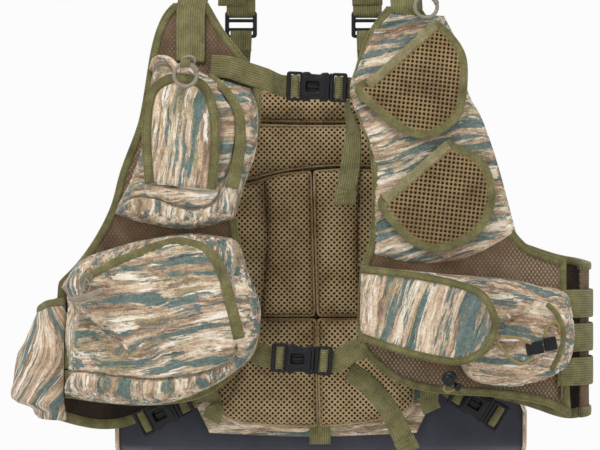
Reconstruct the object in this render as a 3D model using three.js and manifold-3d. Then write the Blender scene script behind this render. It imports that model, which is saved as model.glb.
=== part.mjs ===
// A strap vest for hunting and fishing trips, hanging as it is worn, with a drop-down seat.
// Millimetres, +Z up, the front faces -Y. The origin is where the shoulder straps are carried.
// Left and right are the wearer's, so the wearer's left is +X.
import * as THREE from "three";
import { mergeVertices } from "three/addons/utils/BufferGeometryUtils.js";
import Module from "manifold-3d";

// Driving dimensions.
const gap = 0.5; // between pieces that touch
const fabric = 3; // a quilted panel
const webbing = { narrow: 25, wide: 38, thick: 1.6 };
const torso = { left: 320, right: 300, depth: 80, chestDepth: 52, roundness: 2.6 };
const chestZ = -174;
const waistZ = -481;
const backPad = { front: 40, back: 76, top: -172, waist: -440, bottom: -566 };
const backShell = { front: 77, back: 80.5, top: -160, bottom: -578 };
const hanger = { top: -492, bottom: -598, y: 87.5, fold: 130, half: 244, middle: 14, thick: 3 };
const seat = { half: 212, height: 300, thick: 40, lean: 7.7 };
const buckle = { half: 34, tall: 33, thick: 10, mouth: 13, wall: 2.4, barThick: 5 };
const catchArm = { tip: -7, root: 12.6, inner: 8, outer: 13.2, half: 2.4 };

const finish = (color, roughness, metalness = 0) =>
  new THREE.MeshStandardMaterial({ color, roughness, metalness });
const materials = {
  camo: finish(0xb09a80, 0.9),
  olive: finish(0x6b6a3a, 0.85),
  brownMesh: finish(0x4e3f33, 0.95),
  airMesh: finish(0x8f7a50, 0.95),
  foam: finish(0x3a342c, 1),
  plastic: finish(0x1c1d22, 0.4),
  greyCloth: finish(0x34363d, 0.9),
  ring: finish(0x8d8578, 0.5),
  metal: finish(0x7a746b, 0.35, 0.8),
};

const wasm = await Module();
wasm.setup();
const vest = new THREE.Group();

function add(name, geometry, material, group = vest) {
  const mesh = new THREE.Mesh(geometry, material);
  mesh.name = name;
  group.add(mesh);
  return mesh;
}

// ---- shapes

// A box of nx by ny by nz cells, each of whose points goes where place(u, v, w) says.
function moulded(nx, ny, nz, place) {
  const geometry = new THREE.BoxGeometry(1, 1, 1, nx, ny, nz);
  const corners = geometry.attributes.position;
  const cell = new THREE.Vector3();
  for (let i = 0; i < corners.count; i++) {
    cell.fromBufferAttribute(corners, i).addScalar(0.5);
    corners.setXYZ(i, ...place(cell.x, cell.y, cell.z));
  }
  return facingOut(geometry);
}

// Turns the faces over if they look into the solid.
function facingOut(geometry) {
  const [a, b, c] = [new THREE.Vector3(), new THREE.Vector3(), new THREE.Vector3()];
  const { index, attributes } = geometry;
  let volume = 0;
  for (let i = 0; i < index.count; i += 3) {
    a.fromBufferAttribute(attributes.position, index.getX(i));
    b.fromBufferAttribute(attributes.position, index.getX(i + 1));
    c.fromBufferAttribute(attributes.position, index.getX(i + 2));
    volume += a.dot(b.cross(c));
  }
  if (volume < 0) geometry.setIndex([...index.array].reverse());
  return geometry;
}

function solid(geometry) {
  const bare = geometry.clone();
  for (const name of ["normal", "uv"]) bare.deleteAttribute(name);
  const merged = mergeVertices(bare, 1e-3);
  return new wasm.Manifold(
    new wasm.Mesh({
      numProp: 3,
      vertProperties: merged.attributes.position.array,
      triVerts: new Uint32Array(merged.index.array),
    }),
  );
}

function carved(geometry, ...cutters) {
  const cut = cutters.reduce((rest, cutter) => rest.subtract(solid(cutter)), solid(geometry));
  const mesh = cut.getMesh();
  return new THREE.BufferGeometry()
    .setAttribute("position", new THREE.BufferAttribute(mesh.vertProperties, 3))
    .setIndex(new THREE.BufferAttribute(mesh.triVerts, 1));
}

function joined(...geometries) {
  const whole = geometries.map(solid).reduce((a, b) => a.add(b));
  const mesh = whole.getMesh();
  return new THREE.BufferGeometry()
    .setAttribute("position", new THREE.BufferAttribute(mesh.vertProperties, 3))
    .setIndex(new THREE.BufferAttribute(mesh.triVerts, 1));
}

function block(x0, x1, y0, y1, z0, z1) {
  return new THREE.BoxGeometry(x1 - x0, y1 - y0, z1 - z0).translate(
    (x0 + x1) / 2,
    (y0 + y1) / 2,
    (z0 + z1) / 2,
  );
}

// An outline in X and Z, from y0 at the front to y1 at the back.
function plate(shape, y0, y1) {
  return new THREE.ExtrudeGeometry(shape, { depth: y1 - y0, bevelEnabled: false, curveSegments: 2 })
    .rotateX(Math.PI / 2)
    .translate(0, y1, 0);
}

function roundedShape(x0, x1, z0, z1, radius) {
  const shape = new THREE.Shape();
  shape.moveTo(x0 + radius, z0);
  shape.lineTo(x1 - radius, z0);
  shape.absarc(x1 - radius, z0 + radius, radius, -Math.PI / 2, 0);
  shape.lineTo(x1, z1 - radius);
  shape.absarc(x1 - radius, z1 - radius, radius, 0, Math.PI / 2);
  shape.lineTo(x0 + radius, z1);
  shape.absarc(x0 + radius, z1 - radius, radius, Math.PI / 2, Math.PI);
  shape.lineTo(x0, z0 + radius);
  shape.absarc(x0 + radius, z0 + radius, radius, Math.PI, 1.5 * Math.PI);
  return shape;
}

// A straight run between the points of an edge: x for a height z, or any other pair of values.
function edge(...points) {
  return (height) => {
    const found = points.findIndex(([, z]) => z <= height);
    const i = found < 0 ? points.length - 1 : Math.max(1, found);
    const [x0, z0] = points[i - 1];
    const [x1, z1] = points[i];
    const held = THREE.MathUtils.clamp(height, Math.min(z0, z1), Math.max(z0, z1));
    return THREE.MathUtils.mapLinear(held, z0, z1, x0, x1);
  };
}

// The front of the torso: nearly flat at the middle, turning back at the sides, shallower at the chest.
function torsoFront(x, z) {
  const half = x > 0 ? torso.left : torso.right;
  const share = Math.min(Math.abs(x) / half, 0.999);
  const rise = THREE.MathUtils.smoothstep(z, -240, -70);
  const depth = THREE.MathUtils.lerp(torso.depth, torso.chestDepth, rise);
  return -depth * Math.pow(1 - Math.pow(share, torso.roundness), 1 / torso.roundness);
}

// A point at an angle round the torso, moved out by some distance. 0 is the side, 90 the middle of the back.
function torsoRound(side, degrees, out) {
  const half = side > 0 ? torso.left : torso.right;
  const angle = THREE.MathUtils.degToRad(degrees);
  const power = 2 / torso.roundness;
  const x = half * Math.pow(Math.cos(angle), power);
  const y = torso.depth * Math.sign(angle) * Math.pow(Math.abs(Math.sin(angle)), power);
  const normal = new THREE.Vector2(x / half ** 2, y / torso.depth ** 2).normalize();
  return [side * (x + out * normal.x), y + out * normal.y];
}

// 1 over the middle, falling to rim at the edges.
const dome = (u, w, rim = 0.25, power = 4) =>
  rim + (1 - rim) * (1 - Math.abs(2 * u - 1) ** power) * (1 - Math.abs(2 * w - 1) ** power);

const valueAt = (value, share) => (typeof value === "function" ? value(share) : value);

// A layer that lies on the front of the torso, between two edges.
// It is thick, or reaches forward to the plane y = front.
function frontLayer({ low, high, left, right, lift = 0, thick, front, cells, shape = () => 1 }) {
  return moulded(cells[0], 1, cells[1], (u, v, w) => {
    const z = THREE.MathUtils.lerp(valueAt(low, u), valueAt(high, u), w);
    const x = THREE.MathUtils.lerp(left(z), right(z), u);
    const back = torsoFront(x, z) - lift;
    return [x, back - (thick ?? back - front) * shape(u, w) * (1 - v), z];
  });
}

// A flat strip along a curve. across is the direction of its width.
function strap(points, width, across, thick = webbing.thick) {
  const knots = points.map((point) => new THREE.Vector3(...point));
  const curve = new THREE.CatmullRomCurve3(knots, false, "centripetal");
  const side = new THREE.Vector3(...across).normalize();
  return moulded(1, 1, 2 * (points.length - 1), (u, v, w) => {
    const along = curve.getTangent(w);
    const wide = side.clone().addScaledVector(along, -side.dot(along)).normalize();
    const deep = new THREE.Vector3().crossVectors(along, wide);
    return curve
      .getPoint(w)
      .addScaledVector(wide, (u - 0.5) * width)
      .addScaledVector(deep, (v - 0.5) * thick)
      .toArray();
  });
}

// ---- the back

function backPieces() {
  const { top, bottom, front: shellFront, back: shellBack } = backShell;
  const halfShell = edge([95, top], [110, -200], [150, -380], [150, -500], [120, bottom]);
  add(
    "back_shell",
    moulded(4, 1, 8, (u, v, w) => {
      const z = THREE.MathUtils.lerp(bottom, top, w);
      const x = THREE.MathUtils.lerp(-halfShell(z), 1.06 * halfShell(z), u);
      return [x, THREE.MathUtils.lerp(shellFront, shellBack, v), z];
    }),
    materials.camo,
  );

  const pad = (name, x0, x1, z0, z1, front = backPad.front) =>
    add(
      name,
      moulded(5, 1, 6, (u, v, w) => {
        const z = THREE.MathUtils.lerp(z0, z1, w);
        const [a, b] = [x0, x1].map((x) => (typeof x === "function" ? x(z) : x));
        const depth = (backPad.back - front) * dome(u, w, 0.35);
        return [THREE.MathUtils.lerp(a, b, u), backPad.back - depth * (1 - v), z];
      }),
      materials.foam,
    );
  const across = 88;
  const seam = edge([3, -274], [12, backPad.bottom]);
  const columnRight = edge([-96, -276], [-92, -400], [-100, -440]);
  const columnLeft = edge([98, -276], [98, -400], [108, -440]);
  const chestFront = 48;
  const shoulderFront = 42;
  const lumbarFront = 34;
  pad("back_pad_top", -across, across, -208, backPad.top, chestFront);
  pad("back_pad_shoulder", -across - 4, across + 4, -268, -209, shoulderFront);
  pad("back_pad_right", columnRight, (z) => seam(z) - gap, -439, -269);
  pad("back_pad_left", (z) => seam(z) + gap, columnLeft, -439, -269);
  const lumbarRight = edge([-100, -440], [-112, -540], [-98, backPad.bottom]);
  const lumbarLeft = edge([108, -440], [126, -530], [100, backPad.bottom]);
  const seamRight = (z) => seam(z) - gap;
  const seamLeft = (z) => seam(z) + gap;
  pad("lumbar_pad_right", lumbarRight, seamRight, backPad.bottom, backPad.waist, lumbarFront);
  pad("lumbar_pad_left", seamLeft, lumbarLeft, backPad.bottom, backPad.waist, lumbarFront);

  add(
    "game_bag",
    moulded(5, 1, 5, (u, v, w) => {
      const z = THREE.MathUtils.lerp(-482, -235, w);
      const bulge = 34 * dome(u, w, 0.2) * THREE.MathUtils.lerp(1, 0.55, w);
      return [(2 * u - 1) * 128, shellBack + gap + bulge * v, z];
    }),
    materials.camo,
  );
}

// ---- the front panels, and the wings that join them to the back

const innerRight = edge(
  [-117, -80], [-95, -112], [-67, -148], [-57, -166], [-54, -192], [-58, -235], [-72, -274],
  [-83, -308], [-78, -347], [-65, -398], [-56, -437], [-60, -470], [-84, -520],
);
const outerRight = edge(
  [-155, -80], [-168, -95], [-179, -129], [-189, -196], [-213, -269], [-224, -308],
  [-241, -342], [-263, -372], [-272, -395], [-272, -560],
);
const innerLeft = edge(
  [87, -82], [63, -118], [47, -174], [52, -204], [65, -241], [69, -271], [69, -308],
  [66, -349], [56, -383], [53, -448], [58, -473], [90, -502], [134, -520],
);
const outerLeft = edge(
  [131, -82], [151, -129], [170, -179], [185, -224], [202, -280], [222, -323],
  [246, -353], [268, -366], [289, -372], [289, -560],
);

function frontPanels() {
  const cells = [7, 12];
  add(
    "right_front_panel",
    frontLayer({
      low: (u) => THREE.MathUtils.lerp(-545, -480, u * u),
      high: -80,
      left: outerRight,
      right: innerRight,
      thick: fabric,
      cells,
    }),
    materials.brownMesh,
  );
  add(
    "left_front_panel",
    frontLayer({
      low: (u) => THREE.MathUtils.lerp(-545, -473, (1 - u) ** 3),
      high: -82,
      left: innerLeft,
      right: outerLeft,
      thick: fabric,
      cells,
    }),
    materials.brownMesh,
  );

  const wing = (name, side, from) =>
    add(
      name,
      moulded(1, 12, 3, (u, v, w) => {
        const degrees = THREE.MathUtils.lerp(from, 65, side > 0 ? v : 1 - v);
        const [x, y] = torsoRound(side, degrees, side > 0 ? fabric * u : fabric * (1 - u));
        const low = THREE.MathUtils.lerp(-549, -572, THREE.MathUtils.smoothstep(degrees, -30, 20));
        const high = THREE.MathUtils.lerp(-374, -330, THREE.MathUtils.smoothstep(degrees, 0, 65));
        return [x, y, THREE.MathUtils.lerp(low, high, w)];
      }),
      materials.brownMesh,
    );
  wing("right_side_wing", -1, -17);
  wing("left_side_wing", 1, -18);
}

// Three short webbing loops on one upright tape, which lace a front panel to its wing.
function sideLadder(name, side) {
  const [upright, ...loops] = [
    [-12, -2, -530, -402],
    [-28, 6, -440, -406],
    [-28, 6, -482, -448],
    [-28, 6, -524, -490],
  ].map(([from, to, low, high]) =>
    moulded(1, 5, 1, (u, v, w) => {
      const degrees = THREE.MathUtils.lerp(from, to, side > 0 ? v : 1 - v);
      const out = fabric + 3 * gap + webbing.thick * (side > 0 ? u : 1 - u);
      const [x, y] = torsoRound(side, degrees, out);
      return [x, y, THREE.MathUtils.lerp(low, high, w)];
    }),
  );
  add(name, joined(upright, ...loops), materials.olive);
}

// ---- the pockets

const callPocket = { low: -330, high: -142, depth: 34 };
const callFlap = { low: -286, high: -166, thick: 3.5, left: -186, right: -114 };
const zipPocket = { low: -517, high: -340, front: -118 };
const zipArc = { x: -132, z: -555, radius: 202, from: 124.3, y: -121.8 };

function rightPockets() {
  const onPanel = fabric + gap;
  add(
    "call_pocket",
    frontLayer({
      low: callPocket.low,
      high: (u) => callPocket.high - 38 * u,
      left: edge([-168, -142], [-181, -196], [-205, -269], [-216, -300], [-214, -330]),
      right: edge(
        [-112, -166], [-66, -180], [-60, -192], [-64, -235],
        [-78, -274], [-90, -308], [-92, -330],
      ),
      lift: onPanel,
      thick: callPocket.depth,
      shape: (u, w) => dome(u, w, 0.2),
      cells: [8, 8],
    }),
    materials.camo,
  );

  add(
    "zip_pocket",
    frontLayer({
      low: zipPocket.low,
      high: zipPocket.high,
      left: edge([-215, -340], [-262, -372], [-266, -480], [-262, -517]),
      right: edge([-82, -340], [-72, -372], [-60, -437], [-66, -475], [-100, -517]),
      lift: onPanel,
      front: zipPocket.front,
      shape: (u, w) => dome(u, w, 0.2, 10),
      cells: [8, 8],
    }),
    materials.camo,
  );

  const belly = edge([20, -412], [36, -480], [38, -520], [14, -548]);
  const pouch = (inset) =>
    moulded(1, 8, 6, (u, v, w) => {
      const degrees = THREE.MathUtils.lerp(22 - inset, -24 + inset, v);
      const z = THREE.MathUtils.lerp(-548 + inset, -412 + 4 * inset, w);
      const bulge = belly(z) * (1 - Math.abs(2 * v - 1) ** 3 * 0.7);
      const out = fabric + gap + 6 + THREE.MathUtils.lerp(inset, bulge - inset, 1 - u);
      const [x, y] = torsoRound(-1, degrees, out);
      return [x, y, z];
    });
  add("bottle_pocket", carved(pouch(0), pouch(3)), materials.camo);
}

function leftPockets() {
  const onPanel = fabric + gap;
  const overlay = 4;
  add(
    "left_chest_overlay",
    frontLayer({
      low: (u) => -352 + 40 * Math.max(0, u - 0.55) - 8 * (1 - Math.abs(2 * u - 1)),
      high: -86,
      left: (z) => innerLeft(z) + 5,
      right: (z) => outerLeft(z) - 9,
      lift: onPanel,
      thick: overlay,
      cells: [6, 10],
    }),
    materials.camo,
  );
  const meshPocket = (name, { low, high, left, right, depth }) =>
    add(
      name,
      frontLayer({
        low,
        high,
        left,
        right,
        lift: onPanel + overlay + gap,
        thick: depth,
        shape: (u, w) => dome(u, w, 0.2, 3),
        cells: [7, 7],
      }),
      materials.airMesh,
    );
  meshPocket("mesh_pocket_upper", {
    low: -231,
    high: -98,
    left: edge([112, -98], [58, -178], [108, -225], [118, -231]),
    right: edge([118, -98], [160, -160], [166, -190], [140, -231]),
    depth: 20,
  });
  meshPocket("mesh_pocket_lower", {
    low: -352,
    high: -234,
    left: edge([131, -234], [73, -307], [100, -340], [112, -352]),
    right: edge([137, -234], [190, -285], [196, -315], [152, -352]),
    depth: 18,
  });

  add(
    "call_holster",
    frontLayer({
      low: (u) => THREE.MathUtils.lerp(-478, -520, Math.min(1, 2 * u)),
      high: -388,
      left: () => 60,
      right: edge([272, -388], [284, -420], [282, -480], [262, -515]),
      lift: onPanel,
      thick: 44,
      shape: (u, w) => THREE.MathUtils.lerp(0.35, 1, Math.min(1, 1.3 * u)) * dome(u, w, 0.25),
      cells: [9, 7],
    }),
    materials.camo,
  );
}

// The flaps lie in front of their pockets, and turn about their sewn edges.
function flaps() {
  const clear = callPocket.depth + fabric + 2 * gap;
  add(
    "call_flap",
    frontLayer({
      low: callFlap.low,
      high: callFlap.high,
      left: edge([-160, -166], [-180, -180], [callFlap.left + 2, -196], [callFlap.left, -286]),
      right: edge([-130, -166], [-112, -180], [callFlap.right - 2, -196], [callFlap.right - 2, -286]),
      lift: clear,
      thick: callFlap.thick,
      cells: [4, 6],
    }),
    materials.camo,
  );
  add(
    "holster_flap",
    moulded(8, 1, 6, (u, v, w) => {
      const x = THREE.MathUtils.lerp(54, 208, u);
      const round = Math.sqrt(Math.max(0.02, 1 - Math.max(0, (u - 0.62) / 0.38) ** 2));
      const tall = THREE.MathUtils.lerp(94, 112, u) * round;
      const z = THREE.MathUtils.lerp(-432, -434, u) + (w - 0.5) * tall;
      const front = THREE.MathUtils.lerp(-99, -128, Math.min(1, 1.4 * u));
      return [x, front + 3.5 * v, z];
    }),
    materials.camo,
  );
}

// The zip's slider and its pull. The slider runs along an arc.
function zip() {
  const start = THREE.MathUtils.degToRad(zipArc.from);
  const x = zipArc.x + zipArc.radius * Math.cos(start);
  const z = zipArc.z + zipArc.radius * Math.sin(start);
  const slider = add(
    "zip_slider",
    joined(plate(roundedShape(-7, 7, -5, 5, 2), -3, 3), block(-2.5, 2.5, -5.5, -2.5, -3, 3)),
    materials.metal,
  );
  slider.position.set(x, zipArc.y, z);
  slider.rotation.y = Math.PI / 2 - start;
  const pull = new THREE.Shape();
  pull.moveTo(-2.5, -1);
  pull.lineTo(-3, -9);
  pull.quadraticCurveTo(-12, -12, -19, -20);
  pull.quadraticCurveTo(0, -28, 19, -16);
  pull.quadraticCurveTo(8, -12, 3, -9);
  pull.lineTo(2.5, -1);
  pull.closePath();
  const crescent = add("zip_pull", plate(pull, -1, 1), materials.ring);
  crescent.position.set(x, zipArc.y - 7, z);
}

// ---- buckles

// The two halves of a side-release buckle along X, its strap slots at the ends.
function strapFrame(side) {
  const { half, tall, barThick } = buckle;
  const slot = webbing.narrow / 2 + 0.6;
  const frame = roundedShape(-half, -15, -tall / 2, tall / 2, 3);
  for (const [x0, x1] of [[-31.5, -26.3], [-22.7, -18]])
    frame.holes.push(roundedShape(x0, x1, -slot, slot, 0.8));
  const made = plate(frame, -barThick / 2, barThick / 2);
  return side < 0 ? made : made.rotateZ(Math.PI);
}

function socketGeometry() {
  const { tall, thick, mouth, wall } = buckle;
  const shell = roundedShape(-18, mouth, -tall / 2, tall / 2, 3);
  const inside = tall / 2 - wall;
  return carved(
    joined(plate(shell, -thick / 2, thick / 2), strapFrame(-1)),
    block(-16, mouth + 1, -thick / 2 + 2, thick / 2 - 2, -inside, inside),
    block(-13, 2, -thick / 2 - 1, 0, -5, 5),
    block(-8.5, 5, -thick / 2 - 1, thick / 2 + 1, 11.5, tall),
    block(-8.5, 5, -thick / 2 - 1, thick / 2 + 1, -tall, -11.5),
  );
}

function plugGeometry() {
  const { tall, thick, mouth } = buckle;
  return joined(
    plate(roundedShape(mouth + 0.6, 18, -tall / 2, tall / 2, 2), -thick / 2 + 1, thick / 2 - 1),
    strapFrame(1),
    block(-11, mouth + 2, -1.6, 1.6, -2.6, 2.6),
  );
}

// One of the plug's two sprung arms, with the button that shows in the socket's side.
function armGeometry(side) {
  const { tip, root, inner, outer, half } = catchArm;
  const arm = new THREE.Shape();
  arm.moveTo(root, inner);
  arm.lineTo(root, inner + 3);
  arm.lineTo(5, inner + 3.2);
  arm.lineTo(4, outer);
  arm.quadraticCurveTo(0, outer + 0.4, tip, inner + 2.5);
  arm.lineTo(tip + 1, inner);
  arm.closePath();
  const upper = plate(arm, -half, half);
  return side > 0 ? upper : upper.rotateX(Math.PI);
}

// The same arm, moulded in one with the plug.
function fixedArm(side) {
  const { root, inner, half } = catchArm;
  const [low, high] = side > 0 ? [inner, inner + 3] : [-inner - 3, -inner];
  return joined(armGeometry(side), block(root - 1, buckle.mouth + 2, -half, half, low, high));
}

function sideReleaseBuckle(prefix, [x, y, z], tilt, arms = true) {
  const group = new THREE.Group();
  group.position.set(x, y, z);
  group.rotation.y = THREE.MathUtils.degToRad(tilt);
  vest.add(group);
  add(`${prefix}_socket`, socketGeometry(), materials.plastic, group);
  const plug = arms ? plugGeometry() : joined(plugGeometry(), fixedArm(1), fixedArm(-1));
  add(`${prefix}_plug`, plug, materials.plastic, group);
  if (arms) {
    add(`${prefix}_arm_upper`, armGeometry(1), materials.plastic, group);
    add(`${prefix}_arm_lower`, armGeometry(-1), materials.plastic, group);
  }
}

// ---- straps

// A strap that ends round a buckle's bar, in the buckle's own frame. side is +1 at the plug's end.
function barLoop([x, y, z], tilt, side) {
  const turn = THREE.MathUtils.degToRad(tilt);
  return [
    [40, 4.6],
    [33, 4.4],
    [30.2, 3.3],
    [28.9, 0],
    [27.6, -3.3],
    [24.5, -4.6],
    [21.4, -3.3],
    [20.3, 0],
  ].map(([along, deep]) => [
    x + side * along * Math.cos(turn),
    y + deep,
    z - side * along * Math.sin(turn),
  ]);
}

function bodyStraps() {
  const upright = [0, 0, -1];
  const chest = [[8, -60, chestZ], 2];
  const waist = [[-9, -70, waistZ], 4];
  sideReleaseBuckle("chest_buckle", ...chest);
  sideReleaseBuckle("waist_buckle", ...waist);
  const run = (name, points) => add(name, strap(points, webbing.narrow, upright), materials.olive);
  const slack = [[-104, -76, -151], [-76, -77, -155], [-55, -76, -164]];
  run("chest_strap_right", [...slack, ...barLoop(...chest, -1)]);
  run("chest_strap_left", [[62, -60, -178], [54, -57, -177], ...barLoop(...chest, 1)]);
  run("waist_strap_right", [[-58, -66, -474], ...barLoop(...waist, -1)]);
  run("waist_strap_left", [[56, -70, -470], [46, -66, -474], ...barLoop(...waist, 1)]);
  add(
    "chest_strap_tail",
    strap([[43, -46, -197], [49, -44, -225], [46, -44, -262], [40, -46, -302]], 22, [1, 0.3, 0]),
    materials.olive,
  );
  add(
    "waist_strap_tail",
    strap([[50, -50, -498], [84, -44, -530], [101, -42, -550], [118, -44, -578]], 22, [1, 0.2, 0.5]),
    materials.olive,
  );
}

function ladderLock() {
  const frame = roundedShape(-19, 19, -16, 16, 3);
  for (const low of [-12, -1.5, 7]) frame.holes.push(roundedShape(-14.5, 14.5, low, low + 4.5, 0.8));
  return plate(frame, -2, 2);
}

function shoulders() {
  const across = [1, 0, 0];
  const sides = [
    {
      side: "right",
      lock: -81,
      end: -86,
      points: [[-136, -67, -146], [-136, -60, -112], [-135, -55.5, -80], [-126, -34, -24], [-102, 0, -1.5]],
    },
    {
      side: "left",
      lock: 69,
      end: 72,
      points: [[110, -56, -84], [109, -54, -74], [106, -32, -22], [88, 0, -1.5]],
    },
  ];
  for (const { side, end, lock, points } of sides) {
    const over = [...points, [lock, 42, -26], [lock, 60, -70]];
    add(`${side}_shoulder_strap`, strap(over, webbing.wide, across), materials.olive);
    const frame = add(`${side}_ladder_lock`, ladderLock(), materials.plastic);
    frame.position.set(lock, 64, -92);
    const down = [[lock, 68, -80], [lock, 69, -112], [end, 74, -140], [end, 78.7, -158]];
    add(`${side}_back_strap`, strap(down, webbing.narrow, across), materials.olive);
  }
}

// ---- rings, cord lock and hip buckles

function rings() {
  const places = [
    ["right_ring", [-137, -123, -165]],
    ["left_ring", [131, -66, -84]],
  ];
  for (const [name, place] of places) {
    const ring = add(name, new THREE.TorusGeometry(12.5, 2.4, 8, 20), materials.ring);
    ring.position.set(...place);
    ring.rotation.x = Math.PI / 2;
  }
}

function turned(...profile) {
  return new THREE.LatheGeometry(profile.map((point) => new THREE.Vector2(...point)), 16);
}

function cordLock() {
  const lock = new THREE.Group();
  lock.position.set(153, -134, -498);
  lock.rotation.set(Math.PI, 0, 0.35);
  vest.add(lock);
  const barrel = turned([0, -9], [5, -9], [7.5, -6], [8, 4], [6, 8], [4.6, 8], [4.6, -4], [0, -4]);
  add("cord_lock", barrel, materials.plastic, lock);
  const button = turned([0, -1], [4.1, -1], [4.1, 11], [3, 13.5], [0, 14]);
  add("cord_lock_button", button, materials.plastic, lock);
}

function hipBuckles() {
  const right = [[-171, 30, -549], -27];
  const left = [[198, 30, -541], 32];
  sideReleaseBuckle("right_hip", ...right, false);
  sideReleaseBuckle("left_hip", ...left, false);
  const fromRight = [[-128, 68, -495], [-127, 54, -505], ...barLoop(...right, 1)];
  const fromLeft = [[128, 72, -484], [137, 52, -495], ...barLoop(...left, -1)];
  add("right_hip_strap", strap(fromRight, webbing.narrow, [0.51, 0, -1]), materials.olive);
  add("left_hip_strap", strap(fromLeft, webbing.narrow, [-0.625, 0, -1]), materials.olive);
}

// ---- the drop-down seat

// The seat hangs from a fold behind the hanger. It leans so that its weight is under the fold.
function seatPieces() {
  const profile = [[0, hanger.top], [0, -560], [2, -590], [12, hanger.bottom], [39, hanger.bottom - 1.5]];
  const sheet = profile.map(([y, z]) => [hanger.middle, hanger.y + y, z]);
  const hangerStrap = strap(sheet, 2 * hanger.half, [1, 0, 0], hanger.thick);
  add("seat_hanger", hangerStrap, materials.greyCloth);
  const from = hanger.middle - seat.half;
  const to = hanger.middle + seat.half;
  const fold = hanger.bottom - 12;
  add(
    "seat_fold",
    block(from, to, hanger.fold - 1.5, hanger.fold + 1.5, fold + 1, fold + 9),
    materials.greyCloth,
  );

  const pad = new THREE.Group();
  pad.position.set(hanger.middle, hanger.fold, fold);
  pad.rotation.x = -THREE.MathUtils.degToRad(seat.lean);
  vest.add(pad);
  const slab = (y0, y1, inset) =>
    moulded(4, 1, 4, (u, v, w) => {
      const z = THREE.MathUtils.lerp(-2 - seat.height + inset, -2 - inset, w);
      const taper = THREE.MathUtils.lerp(0.9, 1, Math.sqrt(w));
      return [(2 * u - 1) * (seat.half - inset) * taper, THREE.MathUtils.lerp(y0, y1, v), z];
    });
  add("seat_foam", slab(3, seat.thick - 3, 6), materials.foam, pad);
  add("seat_cover_front", slab(0, 2.5, 0), materials.greyCloth, pad);
  add("seat_cover_back", slab(seat.thick - 2.5, seat.thick, 0), materials.camo, pad);
}

backPieces();
frontPanels();
sideLadder("right_side_ladder", -1);
sideLadder("left_side_ladder", 1);
rightPockets();
leftPockets();
flaps();
zip();
bodyStraps();
shoulders();
rings();
cordLock();
hipBuckles();
seatPieces();

export default vest;
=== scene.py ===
# Strap vest, dressed around its CAD frame. Metres, +Z up, the front faces -Y, left is the wearer's.
import bmesh
import bpy
import math
import numpy as np
from mathutils import Matrix, Vector, noise
from mathutils.bvhtree import BVHTree
from mathutils.geometry import delaunay_2d_cdt


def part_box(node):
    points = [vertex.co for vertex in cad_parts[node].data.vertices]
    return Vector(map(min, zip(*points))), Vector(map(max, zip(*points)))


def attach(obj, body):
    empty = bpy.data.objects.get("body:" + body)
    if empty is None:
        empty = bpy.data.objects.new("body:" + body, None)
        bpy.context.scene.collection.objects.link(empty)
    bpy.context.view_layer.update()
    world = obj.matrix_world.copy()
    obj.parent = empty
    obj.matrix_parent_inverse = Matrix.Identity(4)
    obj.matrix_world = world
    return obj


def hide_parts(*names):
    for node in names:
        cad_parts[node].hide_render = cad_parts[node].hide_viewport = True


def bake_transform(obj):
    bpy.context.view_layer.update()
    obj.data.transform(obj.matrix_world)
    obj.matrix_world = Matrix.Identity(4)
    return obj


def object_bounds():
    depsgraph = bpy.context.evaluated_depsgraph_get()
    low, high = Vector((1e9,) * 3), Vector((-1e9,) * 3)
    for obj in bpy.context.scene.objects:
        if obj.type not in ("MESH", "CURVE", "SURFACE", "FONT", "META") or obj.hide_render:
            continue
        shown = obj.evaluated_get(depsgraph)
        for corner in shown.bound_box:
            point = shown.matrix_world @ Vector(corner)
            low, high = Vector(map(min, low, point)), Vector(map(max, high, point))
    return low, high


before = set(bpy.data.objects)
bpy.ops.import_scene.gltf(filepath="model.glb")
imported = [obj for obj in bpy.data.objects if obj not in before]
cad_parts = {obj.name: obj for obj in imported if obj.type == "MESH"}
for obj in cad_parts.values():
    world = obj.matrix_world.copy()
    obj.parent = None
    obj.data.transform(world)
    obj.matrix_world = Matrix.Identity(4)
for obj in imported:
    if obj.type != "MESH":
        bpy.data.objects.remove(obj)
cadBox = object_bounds()
mm = 0.001
print("frame loaded:", len(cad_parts), "nodes")

# ---- camera, lights and floor

view = {"distance": 2.4, "frameWidth": 0.672, "middleX": -0.011, "middleZ": -0.330, "frontY": -0.080}


def addCamera():
    lens = bpy.data.cameras.new("camera")
    lens.sensor_width = 36
    lens.lens = 36 * view["distance"] / view["frameWidth"]
    lens.clip_end = 30
    camera = bpy.data.objects.new("camera", lens)
    camera.location = (view["middleX"], view["frontY"] - view["distance"], view["middleZ"])
    camera.rotation_euler = (math.pi / 2, 0, 0)
    bpy.context.collection.objects.link(camera)
    bpy.context.scene.camera = camera


def addLight(name, place, power, size, aim=(0, 0, -0.35)):
    lamp = bpy.data.lights.new(name, "AREA")
    lamp.shape = "DISK"
    lamp.size = size
    lamp.energy = power
    obj = bpy.data.objects.new(name, lamp)
    obj.location = place
    obj.rotation_euler = (Vector(aim) - Vector(place)).to_track_quat("-Z", "Y").to_euler()
    bpy.context.collection.objects.link(obj)


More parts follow.
